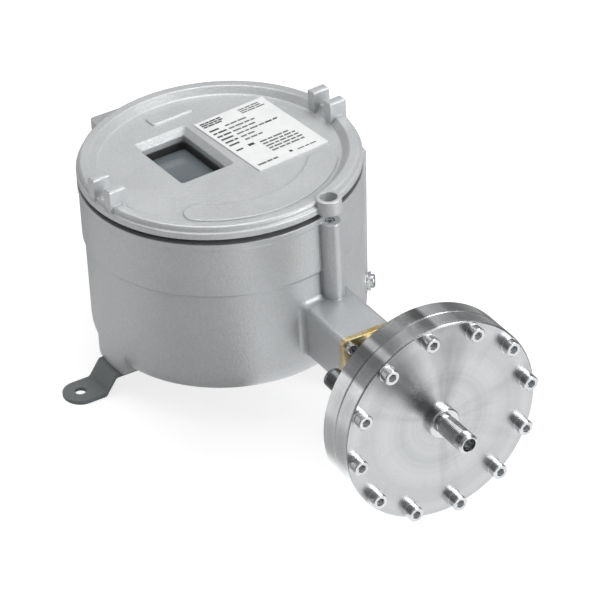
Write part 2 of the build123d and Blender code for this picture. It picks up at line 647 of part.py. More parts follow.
def turned_about(shape, at, degrees):
    return Pos(*at) * Rot(0, 0, degrees) * Pos(-at[0], -at[1]) * shape


def at_window(shape):
    return turned_about(shape, WINDOW_AT, WINDOW_TURN)


def lid():
    spigot_r = MOUTH_R - THREAD_CLEAR
    body = turned([
        (0, FACE_Z), (RECESS_R, FACE_Z), (CREST_IN_R, CREST_Z), (LIP_R, CREST_Z), (LIP_R, SKIRT_Z + LIP_H),
        (COLLAR_R, SKIRT_Z + LIP_H - 0.4), (COLLAR_R, SKIRT_Z),
        (spigot_r, SKIRT_Z), (spigot_r, SKIRT_Z - SPIGOT_L), (SPIGOT_IN_R, SKIRT_Z - SPIGOT_L),
        (SPIGOT_IN_R, UNDER_Z), (0, UNDER_Z),
    ])
    circles = body.edges().filter_by(GeomType.CIRCLE)
    top = circles.filter_by_position(Axis.Z, CREST_Z - 0.1, CREST_Z + 0.1).sort_by(SortBy.RADIUS)
    body = fillet(top[-1], CREST_ROUND)
    foot = body.edges().filter_by(GeomType.CIRCLE).filter_by_position(
        Axis.Z, SKIRT_Z + LIP_H - 0.5, SKIRT_Z + LIP_H + 0.1)
    body = fillet(foot, 0.6)
    top = [e for e in body.edges().filter_by(GeomType.CIRCLE).filter_by_position(
        Axis.Z, CREST_Z - 0.1, CREST_Z + 0.1) if abs(e.radius - CREST_IN_R) < 0.1]
    body = fillet(top, 1.2)
    low = [e for e in body.edges().filter_by(GeomType.CIRCLE).filter_by_position(
        Axis.Z, FACE_Z - 0.1, FACE_Z + 0.1) if abs(e.radius - RECESS_R) < 0.1]
    body = fillet(low, 1.5)
    for sx in (-1, 1):
        for sy in (-1, 1):
            y = sy * (LUG_GAP + LUG_T) / 2
            x = sx * (LUG_OUT - LUG_L / 2)
            lug = block(x - LUG_L / 2, x + LUG_L / 2, y - LUG_T / 2, y + LUG_T / 2,
                        SKIRT_Z + LIP_H / 2, CREST_Z + LUG_H)
            lug = fillet(lug.faces().sort_by(Axis.Z)[-1].edges(), 1.2)
            body += lug
    ear_x, ear_y = polar(EAR_CENTRE_R, EAR_ANGLE - LID_TURN)
    ear = upright(EAR_R, SKIRT_Z - EAR_DROP, CREST_Z + EAR_RISE, ear_x, ear_y)
    ear = fillet(ear.edges().filter_by(GeomType.CIRCLE), 0.7)
    body += ear
    band_mid = (BAND_IN_R + BAND_OUT_R) / 2
    arc = CenterArc((0, 0), band_mid, BAND_START, BAND_SWEEP)
    band = extrude(Pos(0, 0, FACE_Z - 0.5) * SlotArc(arc, BAND_OUT_R - BAND_IN_R), BAND_H + 0.5)
    band = fillet(band.faces().sort_by(Axis.Z)[-1].edges(), BAND_H * 0.6)
    body += band
    pad = lid_box(CAST_PAD, CAST_PAD_AT, FACE_Z - 0.5, FACE_Z + CAST_PAD_H, 1.6)
    pad = fillet(pad.faces().sort_by(Axis.Z)[-1].edges(), CAST_PAD_H * 0.6)
    body += pad
    body += at_window(lid_box(BOSS, WINDOW_AT, GLASS_LOW_Z, UNDER_Z + 1, 8))
    upper = Pos(*WINDOW_AT, FACE_Z) * RectangleRounded(*WINDOW, 2.4)
    lower = Pos(*WINDOW_AT, TAPER_Z) * RectangleRounded(*THROAT, 1.4)
    body -= at_window(loft([upper.face(), lower.face()]))
    body -= at_window(lid_box(WINDOW, WINDOW_AT, FACE_Z, FACE_Z + 3, 2.4))
    body -= at_window(lid_box(THROAT, WINDOW_AT, POCKET_Z - 1, TAPER_Z, 1.4))
    body -= at_window(lid_box(POCKET, WINDOW_AT, GLASS_LOW_Z - 1, POCKET_Z, 2))
    for x, y in retainer_screw_places():
        body -= at_window(upright(RETAINER_SCREW_R + FIT, GLASS_LOW_Z - 1, GLASS_LOW_Z + 7, x, y))
    body -= upright(EAR_HOLE_R, SKIRT_Z - EAR_DROP - 1, CREST_Z + EAR_RISE + 1, ear_x, ear_y)
    groove = SEAL_SECTION_R + 0.2
    body -= upright(SEAL_R + groove, SKIRT_Z - 1, SKIRT_Z + SEAL_GROOVE) - upright(
        SEAL_R - groove, SKIRT_Z - 2, SKIRT_Z + 2)
    return body


def lid_seal():
    return Pos(0, 0, SKIRT_Z + SEAL_GROOVE - SEAL_SECTION_R) * Torus(SEAL_R, SEAL_SECTION_R)


def retainer_screw_places():
    off = POCKET[0] / 2 + BOSS_X / 2
    return [(WINDOW_AT[0] + sx * off, WINDOW_AT[1] + sy * RETAINER_SCREW_Y)
            for sx in (-1, 1) for sy in (-1, 1)]


def window_gasket():
    size = grown(POCKET, -GLASS_CLEAR)
    ring = lid_box(size, WINDOW_AT, GLASS_TOP_Z, POCKET_Z, 2)
    return ring - lid_box(grown(size, -GASKET_W), WINDOW_AT, GLASS_TOP_Z - 1, POCKET_Z + 1, 1)


def window_glass():
    glass = lid_box(grown(POCKET, -GLASS_CLEAR), WINDOW_AT, GLASS_LOW_Z, GLASS_TOP_Z, 2)
    return chamfer(glass.faces().sort_by(Axis.Z)[-1].edges(), 0.8)


def window_retainer():
    frame = lid_box(BOSS, WINDOW_AT, GLASS_LOW_Z - RETAINER_T, GLASS_LOW_Z, 8)
    frame -= lid_box(grown(THROAT, RETAINER_LAND), WINDOW_AT, GLASS_LOW_Z - RETAINER_T - 1, GLASS_LOW_Z + 1, 2)
    for x, y in retainer_screw_places():
        frame -= upright(RETAINER_SCREW_R + 0.2, GLASS_LOW_Z - RETAINER_T - 1, GLASS_LOW_Z + 1, x, y)
    return frame


def retainer_screws():
    screw = Rot(180, 0, 0) * slotted_screw(2.8, 2.0, RETAINER_SCREW_R, RETAINER_T + 6)
    return group(Pos(x, y, GLASS_LOW_Z - RETAINER_T) * screw for x, y in retainer_screw_places())


def nameplate():
    return turned_about(lid_box(LABEL, LABEL_AT, FACE_Z, FACE_Z + LABEL_T, 0.6), LABEL_AT, LABEL_TURN)


def lock_screw():
    """Grub screw in the column, which rises into the lid's ear and stops the lid from turning."""
    x, y = polar(EAR_CENTRE_R, EAR_ANGLE)
    top = RIM_Z - COLUMN_DOWN - LOCK_DOWN
    pin = upright(LOCK_R, top - LOCK_L, top, x, y)
    pin = chamfer(pin.edges().filter_by(GeomType.CIRCLE), 0.5)
    return pin - Pos(x, y, top - 3) * extrude(RegularPolygon(1.5, 6, major_radius=False), 4)


# Switch mechanism

def switch_chassis():
    """Folded plate: a deck on the pot's bosses with an upright tab at each end."""
    plate = extrude(Pos(0, 0, CHASSIS_Z) * RectangleRounded(*CHASSIS, CHASSIS_ROUND), CHASSIS_T)
    for y in (-TAB_Y, TAB_Y):
        inner = y - math.copysign(CHASSIS_T, y)
        tab = block(SENSOR_X - TAB_W / 2, SENSOR_X + TAB_W / 2, min(y, inner), max(y, inner),
                    DECK_Z - 1, DECK_Z + TAB_H)
        plate += fillet(tab.edges().filter_by(Axis.Y).sort_by(Axis.Z)[-2:], 5)
    plate -= along_y(ROD_R + RUN_CLEAR, -TAB_Y - 1, -TAB_Y + CHASSIS_T + 1, SENSOR_X, SENSOR_Z)
    plate -= along_y(SPINDLE_R + RUN_CLEAR, TAB_Y - CHASSIS_T - 1, TAB_Y + 1, SENSOR_X, SENSOR_Z)
    slot = KEEL_W / 2 + RUN_CLEAR
    plate -= block(SENSOR_X - slot, SENSOR_X + slot, NUT_Y - NUT_TRAVEL - 1, NUT_Y + NUT_L + 1,
                   CHASSIS_Z - 1, DECK_Z + 1)
    plate -= upright(PIVOT_R + FIT, CHASSIS_Z - 1, DECK_Z + 1, PIVOT_X, LEVER_Y)
    for x, y in chassis_screw_places():
        plate -= upright(SCREW_R + 0.2, CHASSIS_Z - 1, DECK_Z + 1, x, y)
    for x, y in deck_screw_places() + list(SCALE_POSTS):
        plate -= upright(SWITCH_SCREW_R + FIT, CHASSIS_Z - 1, DECK_Z + 1, x, y)
    return plate


def chassis_screw_places():
    return [(sx * CHASSIS_BOSS_AT[0], sy * CHASSIS_BOSS_AT[1]) for sx in (-1, 1) for sy in (-1, 1)]


def shelf_screw_places():
    off = SWITCH[0] / 2 + SHELF_T + SHELF_FOOT / 2
    return [(BUTTON_X + sx * off, SWITCH_Y + SWITCH[1] / 2) for sx in (-1, 1)]


def block_screw_places():
    return [(TERMINAL_AT[0] + sx * (TERMINAL[0] / 2 - 2.6), TERMINAL_AT[1]) for sx in (-1, 1)]


def deck_screw_places():
    return shelf_screw_places() + block_screw_places()


def chassis_screws():
    screw = slotted_screw(3.6, 2.4, SCREW_R, CHASSIS_T + BOSS_H - 1)
    return group(Pos(x, y, DECK_Z) * screw for x, y in chassis_screw_places())


def inner_earth_screw():
    """Screw with a square clamp under its head, on its own boss on the floor."""
    clamp = Pos(0, 0, 0.8) * Box(8.5, 8.5, 1.6)
    return Pos(INNER_EARTH_X, 0, CHASSIS_Z) * (clamp + Pos(0, 0, 1.6) * slotted_screw(3.6, 2.4, SCREW_R, BOSS_H))


def lever():
    """Flat bar on its pivot: the rod pushes it at mid length, its far end works the switch."""
    low, high = SENSOR_Z - LEVER_H / 2, SENSOR_Z + LEVER_H / 2
    bar = block(LEVER_TIP_X, PIVOT_X, LEVER_Y - LEVER_T / 2, LEVER_FACE_Y, low, high)
    bar = fillet(bar.faces().sort_by(Axis.X)[0].edges().filter_by(Axis.Z), 2)
    bar += upright(PIVOT_HUB_R, low, high, PIVOT_X, LEVER_Y)
    bar += along_y(SPRING_R - SPRING_WIRE_R - 0.5, LEVER_Y, LEVER_FACE_Y + SPRING_SEAT_H, SENSOR_X, SENSOR_Z)
    return bar - upright(PIVOT_R + RUN_CLEAR, low - 1, high + 1, PIVOT_X, LEVER_Y)


def lever_pin():
    low, high = SENSOR_Z - LEVER_H / 2 - RUN_CLEAR, SENSOR_Z + LEVER_H / 2 + RUN_CLEAR
    pin = upright(PIVOT_R, CHASSIS_Z, high + CLIP_T + 1.5, PIVOT_X, LEVER_Y)
    pin = chamfer(pin.edges().filter_by(GeomType.CIRCLE).sort_by(Axis.Z)[-1], 0.5)
    pin += upright(PIVOT_SHOULDER_R, DECK_Z, low, PIVOT_X, LEVER_Y)
    groove = upright(PIVOT_R + 1, high, high + CLIP_T) - upright(PIVOT_R - 0.6, high, high + CLIP_T)
    return pin - Pos(PIVOT_X, LEVER_Y, 0) * groove


def lever_clip():
    low = SENSOR_Z + LEVER_H / 2 + RUN_CLEAR
    clip = upright(PIVOT_R + 2.5, low, low + CLIP_T) - upright(PIVOT_R - 0.6, low - 1, low + CLIP_T + 1)
    clip -= block(0, PIVOT_R * 3, -1.4, 1.4, low - 1, low + CLIP_T + 1)
    return Pos(PIVOT_X, LEVER_Y, 0) * clip


def range_spring():
    length = NUT_Y - LEVER_FACE_Y - 2 * SPRING_WIRE_R
    path = Helix(length / SPRING_TURNS, length, SPRING_R)
    wire = sweep(Plane(origin=path @ 0, z_dir=path % 0) * Circle(SPRING_WIRE_R), path=path, is_frenet=True)
    return placed(wire, (SENSOR_X, LEVER_FACE_Y + SPRING_WIRE_R, SENSOR_Z), (0, 1, 0))


def setting_spindle():
    collar_end = TAB_Y - CHASSIS_T - RUN_CLEAR
    head_start = TAB_Y + RUN_CLEAR
    spindle = along_y(SPINDLE_R, SPINDLE_TIP_Y, head_start + 1, SENSOR_X, SENSOR_Z)
    spindle += along_y(SPINDLE_COLLAR_R, collar_end - SPINDLE_COLLAR_L, collar_end, SENSOR_X, SENSOR_Z)
    head = along_y(SPINDLE_HEAD_R, head_start, head_start + SPINDLE_HEAD_L, SENSOR_X, SENSOR_Z)
    head = fillet(head.faces().sort_by(Axis.Y)[-1].edges(), 1)
    slot = Pos(SENSOR_X, head_start + SPINDLE_HEAD_L, SENSOR_Z) * Box(1.6, 4, SPINDLE_HEAD_R * 3)
    return spindle + head - slot


def spring_nut():
    """Square nut on the spindle, with a keel in the deck's slot that stops it from turning."""
    low = SENSOR_Z - NUT_H / 2
    nut = block(SENSOR_X - NUT_W / 2, SENSOR_X + NUT_W / 2, NUT_Y, NUT_Y + NUT_L, low, low + NUT_H)
    nut = chamfer(nut.edges().filter_by(Axis.Y), 1.5)
    nut += block(SENSOR_X - KEEL_W / 2, SENSOR_X + KEEL_W / 2, NUT_Y, NUT_Y + NUT_L,
                 CHASSIS_Z + RUN_CLEAR, low + 1)
    nut += along_y(SPRING_R - SPRING_WIRE_R - 0.5, NUT_Y - SPRING_SEAT_H, NUT_Y + 1, SENSOR_X, SENSOR_Z)
    return nut - along_y(SPINDLE_R + RUN_CLEAR, NUT_Y - SPRING_SEAT_H - 1, NUT_Y + NUT_L + 1, SENSOR_X, SENSOR_Z)


def pointer():
    """Bent strip from the nut's side up to the scale, with a pointed end."""
    side = SENSOR_X - NUT_W / 2
    middle = NUT_Y + NUT_L / 2
    low, high = SENSOR_Z - NUT_H / 2 + 3, SCALE_Z + SCALE_T + RUN_CLEAR + POINTER_T
    strip = block(side - POINTER_T, side, middle - POINTER_W / 2, middle + POINTER_W / 2, low, high)
    outline = Polyline((side, middle - POINTER_W / 2), (side, middle + POINTER_W / 2),
                       (side - POINTER_REACH / 2, middle + POINTER_W / 2), (side - POINTER_REACH, middle),
                       (side - POINTER_REACH / 2, middle - POINTER_W / 2), close=True)
    return strip + extrude(Pos(0, 0, high - POINTER_T) * make_face(outline), POINTER_T)


def scale_plate():
    plate = extrude(Pos(*SCALE_AT, SCALE_Z) * RectangleRounded(*SCALE, 3), SCALE_T)
    for x, y in SCALE_POSTS:
        plate -= upright(SWITCH_SCREW_R + 0.2, SCALE_Z - 1, SCALE_Z + SCALE_T + 1, x, y)
    first = NUT_Y + NUT_L / 2
    tip = SENSOR_X - NUT_W / 2 - POINTER_REACH
    for k in range(TICKS):
        y = first - k * NUT_TRAVEL / (TICKS - 1)
        reach = 7 if k % 4 == 0 else 4
        plate -= block(tip - 1 - reach, tip - 1, y - 0.2, y + 0.2, SCALE_Z + SCALE_T * 0.6, SCALE_Z + SCALE_T + 1)
    return plate


def scale_posts():
    return group(upright(POST_R, DECK_Z, SCALE_Z, x, y) + upright(SWITCH_SCREW_R, CHASSIS_Z, DECK_Z + 1, x, y)
                 - upright(SWITCH_SCREW_R, SCALE_Z - 6, SCALE_Z + 1, x, y) for x, y in SCALE_POSTS)


def scale_screws():
    screw = slotted_screw(2.6, 1.6, SWITCH_SCREW_R - FIT, SCALE_T + 5)
    return group(Pos(x, y, SCALE_Z + SCALE_T) * screw for x, y in SCALE_POSTS)


def switch_shelf():
    """Bridge of folded plate that carries the switch at the lever's height."""
    half, foot = SWITCH[0] / 2, SWITCH[0] / 2 + SHELF_T + SHELF_FOOT
    top = SENSOR_Z - SWITCH[2] / 2
    outline = [(-foot, DECK_Z), (-half, DECK_Z), (-half, top - SHELF_T), (half, top - SHELF_T), (half, DECK_Z),
               (foot, DECK_Z), (foot, DECK_Z + SHELF_T), (half + SHELF_T, DECK_Z + SHELF_T),
               (half + SHELF_T, top), (-half - SHELF_T, top), (-half - SHELF_T, DECK_Z + SHELF_T),
               (-foot, DECK_Z + SHELF_T)]
    face = make_face(Polyline(*[(BUTTON_X + x, SWITCH_Y, z) for x, z in outline], close=True))
    shelf = extrude(face, SWITCH[1], dir=(0, 1, 0))
    for x, y in shelf_screw_places():
        shelf -= upright(SWITCH_SCREW_R + 0.2, DECK_Z - 1, DECK_Z + SHELF_T + 1, x, y)
    for x, y in switch_screw_places():
        shelf -= upright(SWITCH_SCREW_R + FIT, top - SHELF_T - 1, top + 1, x, y)
    return shelf


def switch_screw_places():
    return [(BUTTON_X + sx * SWITCH_SCREW_OFF, SWITCH_Y + SWITCH[1] * 0.7) for sx in (-1, 1)]


def micro_switch():
    half = SWITCH[0] / 2
    low = SENSOR_Z - SWITCH[2] / 2
    case = block(BUTTON_X - half, BUTTON_X + half, SWITCH_Y, SWITCH_Y + SWITCH[1], low, low + SWITCH[2])
    case = fillet(case.edges().filter_by(Axis.Z), 1)
    hole = BUTTON / 2 + RUN_CLEAR
    case -= block(BUTTON_X - hole, BUTTON_X + hole, SWITCH_Y - 1, SWITCH_Y + 6, SENSOR_Z - hole, SENSOR_Z + hole)
    for x, y in switch_screw_places():
        case -= upright(SWITCH_SCREW_R + 0.2, low - 1, low + SWITCH[2] + 1, x, y)
    for x in blade_places():
        case -= blade(x, 0.01)
    return case


def blade_places():
    return [BUTTON_X + k * BLADE_PITCH for k in (-1, 0, 1)]


def blade(x, clear=0.0):
    start = SWITCH_Y + SWITCH[1] - 2
    half_w, half_t = BLADE[0] / 2 + clear, BLADE[2] / 2 + clear
    return block(x - half_w, x + half_w, start - clear, start + 2 + BLADE[1], SENSOR_Z - half_t, SENSOR_Z + half_t)


def switch_button():
    rod = block(BUTTON_X - BUTTON / 2, BUTTON_X + BUTTON / 2, LEVER_FACE_Y + RUN_CLEAR, SWITCH_Y + 3,
                SENSOR_Z - BUTTON / 2, SENSOR_Z + BUTTON / 2)
    return fillet(rod.faces().sort_by(Axis.Y)[0].edges(), 0.8)


def switch_screws():
    over = slotted_screw(2.7, 1.8, SWITCH_SCREW_R, SWITCH[2] + SHELF_T)
    foot = slotted_screw(2.7, 1.8, SWITCH_SCREW_R, SHELF_T + CHASSIS_T)
    pieces = [Pos(x, y, SENSOR_Z + SWITCH[2] / 2) * over for x, y in switch_screw_places()]
    return group(pieces + [Pos(x, y, DECK_Z + SHELF_T) * foot for x, y in shelf_screw_places()])


def terminal_places():
    return [TERMINAL_AT[0] + (k - (TERMINALS - 1) / 2) * TERMINAL_PITCH for k in range(TERMINALS)]


def terminal_block():
    """Moulded block with a screw well over each wire hole."""
    body = Pos(*TERMINAL_AT, DECK_Z + TERMINAL[2] / 2) * Box(*TERMINAL)
    body = fillet(body.edges().filter_by(Axis.Z), 1.5)
    top = DECK_Z + TERMINAL[2]
    for x in terminal_places():
        body -= upright(3.1, DECK_Z + 8, top + 1, x, TERMINAL_AT[1])
        body -= upright(1.6, DECK_Z + WIRE_Z, top + 1, x, TERMINAL_AT[1])
        body -= along_y(WIRE_R + 0.4, TERMINAL_AT[1] - TERMINAL[1], TERMINAL_AT[1] + TERMINAL[1], x, DECK_Z + WIRE_Z)
    for x, y in block_screw_places():
        body -= upright(SWITCH_SCREW_R + 0.1, DECK_Z - 1, top + 1, x, y)
        body -= upright(2.2, DECK_Z + 6, top + 1, x, y)
    return body


def terminal_screws():
    screw = slotted_screw(2.8, 2.0, 1.5, 1.5)
    fixing = slotted_screw(2.1, 1.6, SWITCH_SCREW_R, 6 + CHASSIS_T)
    pieces = [Pos(x, TERMINAL_AT[1], DECK_Z + 8) * screw for x in terminal_places()]
    return group(pieces + [Pos(x, y, DECK_Z + 6) * fixing for x, y in block_screw_places()])


def switch_wires():
    """Three wires from the switch's blades to the terminal block."""
    start_y = SWITCH_Y + SWITCH[1] + BLADE[1]
    face_y = TERMINAL_AT[1] - TERMINAL[1] / 2
    wires = []
    for x0, x1 in zip(blade_places(), terminal_places()):
        z = DECK_Z + WIRE_Z
        bend = Spline((x0, start_y, SENSOR_Z), (x1, face_y - 1, z), tangents=((0, 1, 0), (0, 1, 0)),
                      tangent_scalars=(1.2, 1.2))
        path = Wire([bend.edge(), Line((x1, face_y - 1, z), (x1, face_y + 6, z)).edge()])
        wires.append(sweep(Plane(origin=path @ 0, z_dir=path % 0) * Circle(WIRE_R), path=path))
    return group(wires)


def neck_nut():
    ring = along_y(ARM_BORE_R - 0.5, -ARM_END, -ARM_END + 4, SENSOR_X, SENSOR_Z)
    return ring - along_y(NECK_SPIGOT_R + FIT, -ARM_END - 1, -ARM_END + 5, SENSOR_X, SENSOR_Z)


save("housing_body", housing())
for name, angle in zip(("foot_strap_left", "foot_strap_front", "foot_strap_back"), foot_angles()):
    save(name, foot_strap(angle))
save("foot_screws", foot_screws())
earth_terminal()
save("entry_plug", entry_plug())
gland()
save("adapter_plate", adapter_plate())
save("adapter_plate_screws", adapter_screws())
save("neck_tube", neck_tube())
save("neck_nut", neck_nut())
save("rod_seal", rod_seal())
save("rear_flange", rear_flange())
save("front_flange", front_flange())
save("capsule_o_ring", capsule_o_ring())
save("diaphragm", diaphragm())
save("push_rod", push_rod())
save("back_plate", back_plate())
save("flange_screws", flange_screws())
save("flange_washers", flange_washers())
save("high_pressure_port", placed(port(PORT_L), (SENSOR_X, FRONT_Y, SENSOR_Z), (0, -1, 0)))
save("low_pressure_port", placed(port(LOW_PORT_L), (SENSOR_X + LOW_PORT_DX, REAR_Y, SENSOR_Z + LOW_PORT_DZ), (0, 1, 0)))

turn = Rot(0, 0, LID_TURN)
save("lid", turn * lid())
save("window_gasket", turn * at_window(window_gasket()))
save("window_glass", turn * at_window(window_glass()))
save("window_retainer", turn * at_window(window_retainer()))
save("window_retainer_screws", turn * at_window(retainer_screws()))
save("nameplate", turn * nameplate())
save("lid_seal", lid_seal())
save("lid_lock_screw", lock_screw())

save("switch_chassis", switch_chassis())
save("chassis_screws", chassis_screws())
save("inner_earth_screw", inner_earth_screw())
save("lever", lever())
save("lever_pin", lever_pin())
save("lever_clip", lever_clip())
save("range_spring", range_spring())
save("setting_spindle", setting_spindle())
save("spring_nut", spring_nut())
save("pointer", pointer())
save("scale_plate", scale_plate())
save("scale_posts", scale_posts())
save("scale_screws", scale_screws())
save("switch_shelf", switch_shelf())
save("micro_switch", micro_switch())
save("switch_blades", group(blade(x) for x in blade_places()))
save("switch_button", switch_button())
save("switch_screws", switch_screws())
save("terminal_block", terminal_block())
save("terminal_screws", terminal_screws())
save("switch_wires", switch_wires())
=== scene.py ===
import bpy
import json
import math
import numpy as np
from mathutils import Matrix, Vector


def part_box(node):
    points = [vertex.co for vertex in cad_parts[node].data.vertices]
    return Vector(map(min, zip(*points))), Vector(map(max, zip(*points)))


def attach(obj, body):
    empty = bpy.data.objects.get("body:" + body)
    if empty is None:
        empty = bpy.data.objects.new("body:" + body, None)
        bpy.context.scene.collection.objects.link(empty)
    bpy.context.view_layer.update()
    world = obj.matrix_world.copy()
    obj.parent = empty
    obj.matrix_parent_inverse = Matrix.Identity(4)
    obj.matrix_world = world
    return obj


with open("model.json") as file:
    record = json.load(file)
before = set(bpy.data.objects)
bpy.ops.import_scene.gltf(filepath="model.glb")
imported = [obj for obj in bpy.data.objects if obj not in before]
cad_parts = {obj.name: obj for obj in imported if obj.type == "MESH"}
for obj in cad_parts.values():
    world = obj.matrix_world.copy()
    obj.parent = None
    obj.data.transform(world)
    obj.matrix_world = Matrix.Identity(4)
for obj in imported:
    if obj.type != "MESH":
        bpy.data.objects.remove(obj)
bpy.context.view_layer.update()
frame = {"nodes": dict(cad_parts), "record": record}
NODES = frame["nodes"]
MM = 0.001

# Places that the solids share with this file, in metres in the shared frame
PORT_AXIS = (0.0225, 0.052)         # x and z of the capsule's axis
LOW_PORT_AXIS = (-0.016, 0.064)
PORT_THREAD = (-0.2450, -0.2267)    # y of the thread's two ends
LOW_PORT_THREAD = (-0.1851, -0.1600)
PORT_BORE_EDGE = 0.0055             # radius between the port's bore and its thread
THREAD_PITCH = 0.001337
THREAD_DEPTH = 0.0005
FLANGE_R = 0.067
THROAT_LOW = 0.1232                 # height of the throat's lower edge, on the glass

# The lid's label and window: turns as seen from above, places in the lid's own directions in mm
LID_TURN = math.radians(4.0)
LABEL_CENTRE = (36.4, 7.1)
LABEL_SIZE = (53.1, 72.4)
LABEL_TURN = math.radians(5.2)      # lid's turn and the label's own
LABEL_INK = 0.03                    # height of the print over the label
WINDOW_CENTRE = (-14.9, 18.1)
WINDOW_THROAT = (32.1, 51.0)
WINDOW_TURN = math.radians(3.0)
LINER_SECTION = ((0.1, 0.0), (0.1, 4.6), (0.5, 4.9), (0.9, 4.6), (0.9, 0.0))   # inset, height
LINER_STEPS = 240
LINER_CORNER = 0.12                 # power that rounds the liner's corners

# The stage and the camera, in metres
BENCH_CONTACTS = ((-0.1105, 0, 0), (0.0552, 0.0957, 0), (0.0225, -0.1925, -0.015))
BENCH_GAP = 0.0005
BENCH_HALF = 6.0
CAMERA_TURN = math.radians(-28.82)
CAMERA_RISE = math.radians(33.14)
CAMERA_ROLL = math.radians(-3.5)
CAMERA_AWAY = 3.0
CAMERA_SHIFT = (0.05072, -0.09256)  # along the picture's right and up
CAMERA_SIDE = (-0.482, -0.876)      # unit vector in plan, from the pot towards the camera
LID_CREST = 0.1405                  # height of the lid's rim, which the camera looks at

# Shaders
NOISE_LOW, NOISE_HIGH = 0.3, 0.7    # where most of a noise's values lie
BEVEL_SAMPLES = 4
FLOAT = "NodeSocketFloat"
VECTOR = "NodeSocketVector"


# Node helpers

def nodes_of(tree):
    """Returns put, which adds a node with its settings and links in this tree, and sums, for maths."""
    def put(kind, inputs=None, **settings):
        node = tree.nodes.new(kind)
        for key, value in settings.items():
            setattr(node, key, value)
        for key, value in (inputs or {}).items():
            if isinstance(value, bpy.types.NodeSocket):
                tree.links.new(value, node.inputs[key])
            else:
                node.inputs[key].default_value = value
        return node

    def sums(operation, a, b=0.0, clamp=False):
        return put("ShaderNodeMath", {0: a, 1: b}, operation=operation, use_clamp=clamp).outputs[0]

    return put, sums


def feed(node, sockets):
    """Links sockets into a node's inputs, {input: socket}."""
    for key, socket in sockets.items():
        node.id_data.links.new(socket, node.inputs[key])


def new_group(name, inputs, outputs):
    """An empty shader group with float inputs {name: value} and outputs {name: socket type}."""
    tree = bpy.data.node_groups.new(name, "ShaderNodeTree")
    for key, value in inputs.items():
        socket = tree.interface.new_socket(key, in_out="INPUT", socket_type=FLOAT)
        socket.default_value = value
    for key, kind in outputs.items():
        tree.interface.new_socket(key, in_out="OUTPUT", socket_type=kind)
    put, sums = nodes_of(tree)
    return tree, put, sums, put("NodeGroupInput"), put("NodeGroupOutput")


def object_place(put):
    return put("ShaderNodeTexCoord").outputs["Object"]


def noise(put, place, scale, detail, roughness=0.5):
    return put("ShaderNodeTexNoise", {"Vector": place, "Scale": scale, "Detail": detail,
                                      "Roughness": roughness}).outputs["Fac"]


def value_between(put, factor, low, high, start=NOISE_LOW, end=NOISE_HIGH):
    """A value from low to high, as the factor goes from start to end."""
    return put("ShaderNodeMapRange", {"Value": factor, "From Min": start, "From Max": end,
                                      "To Min": low, "To Max": high}).outputs[0]


def smooth_sector(put, off, half, soft, strength):
    """The strength where off is under half, falling to nothing over soft on either side; radians."""
    return put("ShaderNodeMapRange", {"Value": off, "From Min": half - soft, "From Max": half + soft,
                                      "To Min": strength, "To Max": 0.0},
               interpolation_type="SMOOTHSTEP").outputs[0]


def blended(put, factor, first, second):
    """Two colours, sockets or values, mixed by a factor."""
    mix = put("ShaderNodeMix", {"Factor": factor}, data_type="RGBA")
    for index, value in ((6, first), (7, second)):
        if isinstance(value, bpy.types.NodeSocket):
            feed(mix, {index: value})
        else:
            mix.inputs[index].default_value = (*value, 1.0)
    return mix.outputs[2]


def tone_between(put, factor, dark, light):
    """A colour between two, as a noise goes from low to high."""
    return blended(put, value_between(put, factor, 0.0, 1.0), dark, light)


def scaled(put, colour, share):
    """A colour times a value."""
    return put("ShaderNodeVectorMath", {0: colour, "Scale": share}, operation="SCALE").outputs[0]


def rounded_edge(put, sums, radius):
    """The normal rounded over a radius, and how sharp an edge is there: four times one minus the
    dot product of the flat normal and the rounded one."""
    rounded = put("ShaderNodeBevel", {"Radius": radius}, samples=BEVEL_SAMPLES).outputs[0]
    flat = put("ShaderNodeNewGeometry").outputs["Normal"]
    along = put("ShaderNodeVectorMath", {0: rounded, 1: flat}, operation="DOT_PRODUCT").outputs["Value"]
    return rounded, sums("MULTIPLY", sums("SUBTRACT", 1.0, along), 4.0, True)


def bumped(put, height, strength, distance, normal):
    return put("ShaderNodeBump", {"Height": height, "Strength": strength, "Distance": distance,
                                  "Normal": normal}).outputs[0]


# Node groups

def cast_paint_group():
    """Thick paint over a sand casting: pebbled height, patches of tone, and painted highlights on sharp
    edges.
    Height is two noises added, Tone is a broad noise, Edge is how sharp an edge is, and Crevice is the open
    share of the sky, for painted shade in crevices."""
    tree, put, sums, given, out = new_group(
        "cast_paint", {"Pebble Size": 1.2, "Edge Radius": 0.5},
        {"Height": FLOAT, "Tone": FLOAT, "Edge": FLOAT, "Normal": VECTOR, "Crevice": FLOAT})
    place = object_place(put)
    per_metre = sums("DIVIDE", 1 / MM, given.outputs["Pebble Size"])
    pebble = noise(put, place, per_metre, 2.0, 0.6)
    fine = noise(put, place, sums("MULTIPLY", per_metre, 3.1), 1.0)
    normal, edge = rounded_edge(put, sums, sums("MULTIPLY", given.outputs["Edge Radius"], MM))
    open_share = put("ShaderNodeAmbientOcclusion", {"Distance": 0.008}, samples=4).outputs["AO"]
    feed(out, {"Height": sums("ADD", sums("MULTIPLY", pebble, 0.7), sums("MULTIPLY", fine, 0.3)),
               "Tone": noise(put, place, 22.0, 4.0, 0.55),
               "Edge": edge, "Normal": normal, "Crevice": open_share})
    return tree


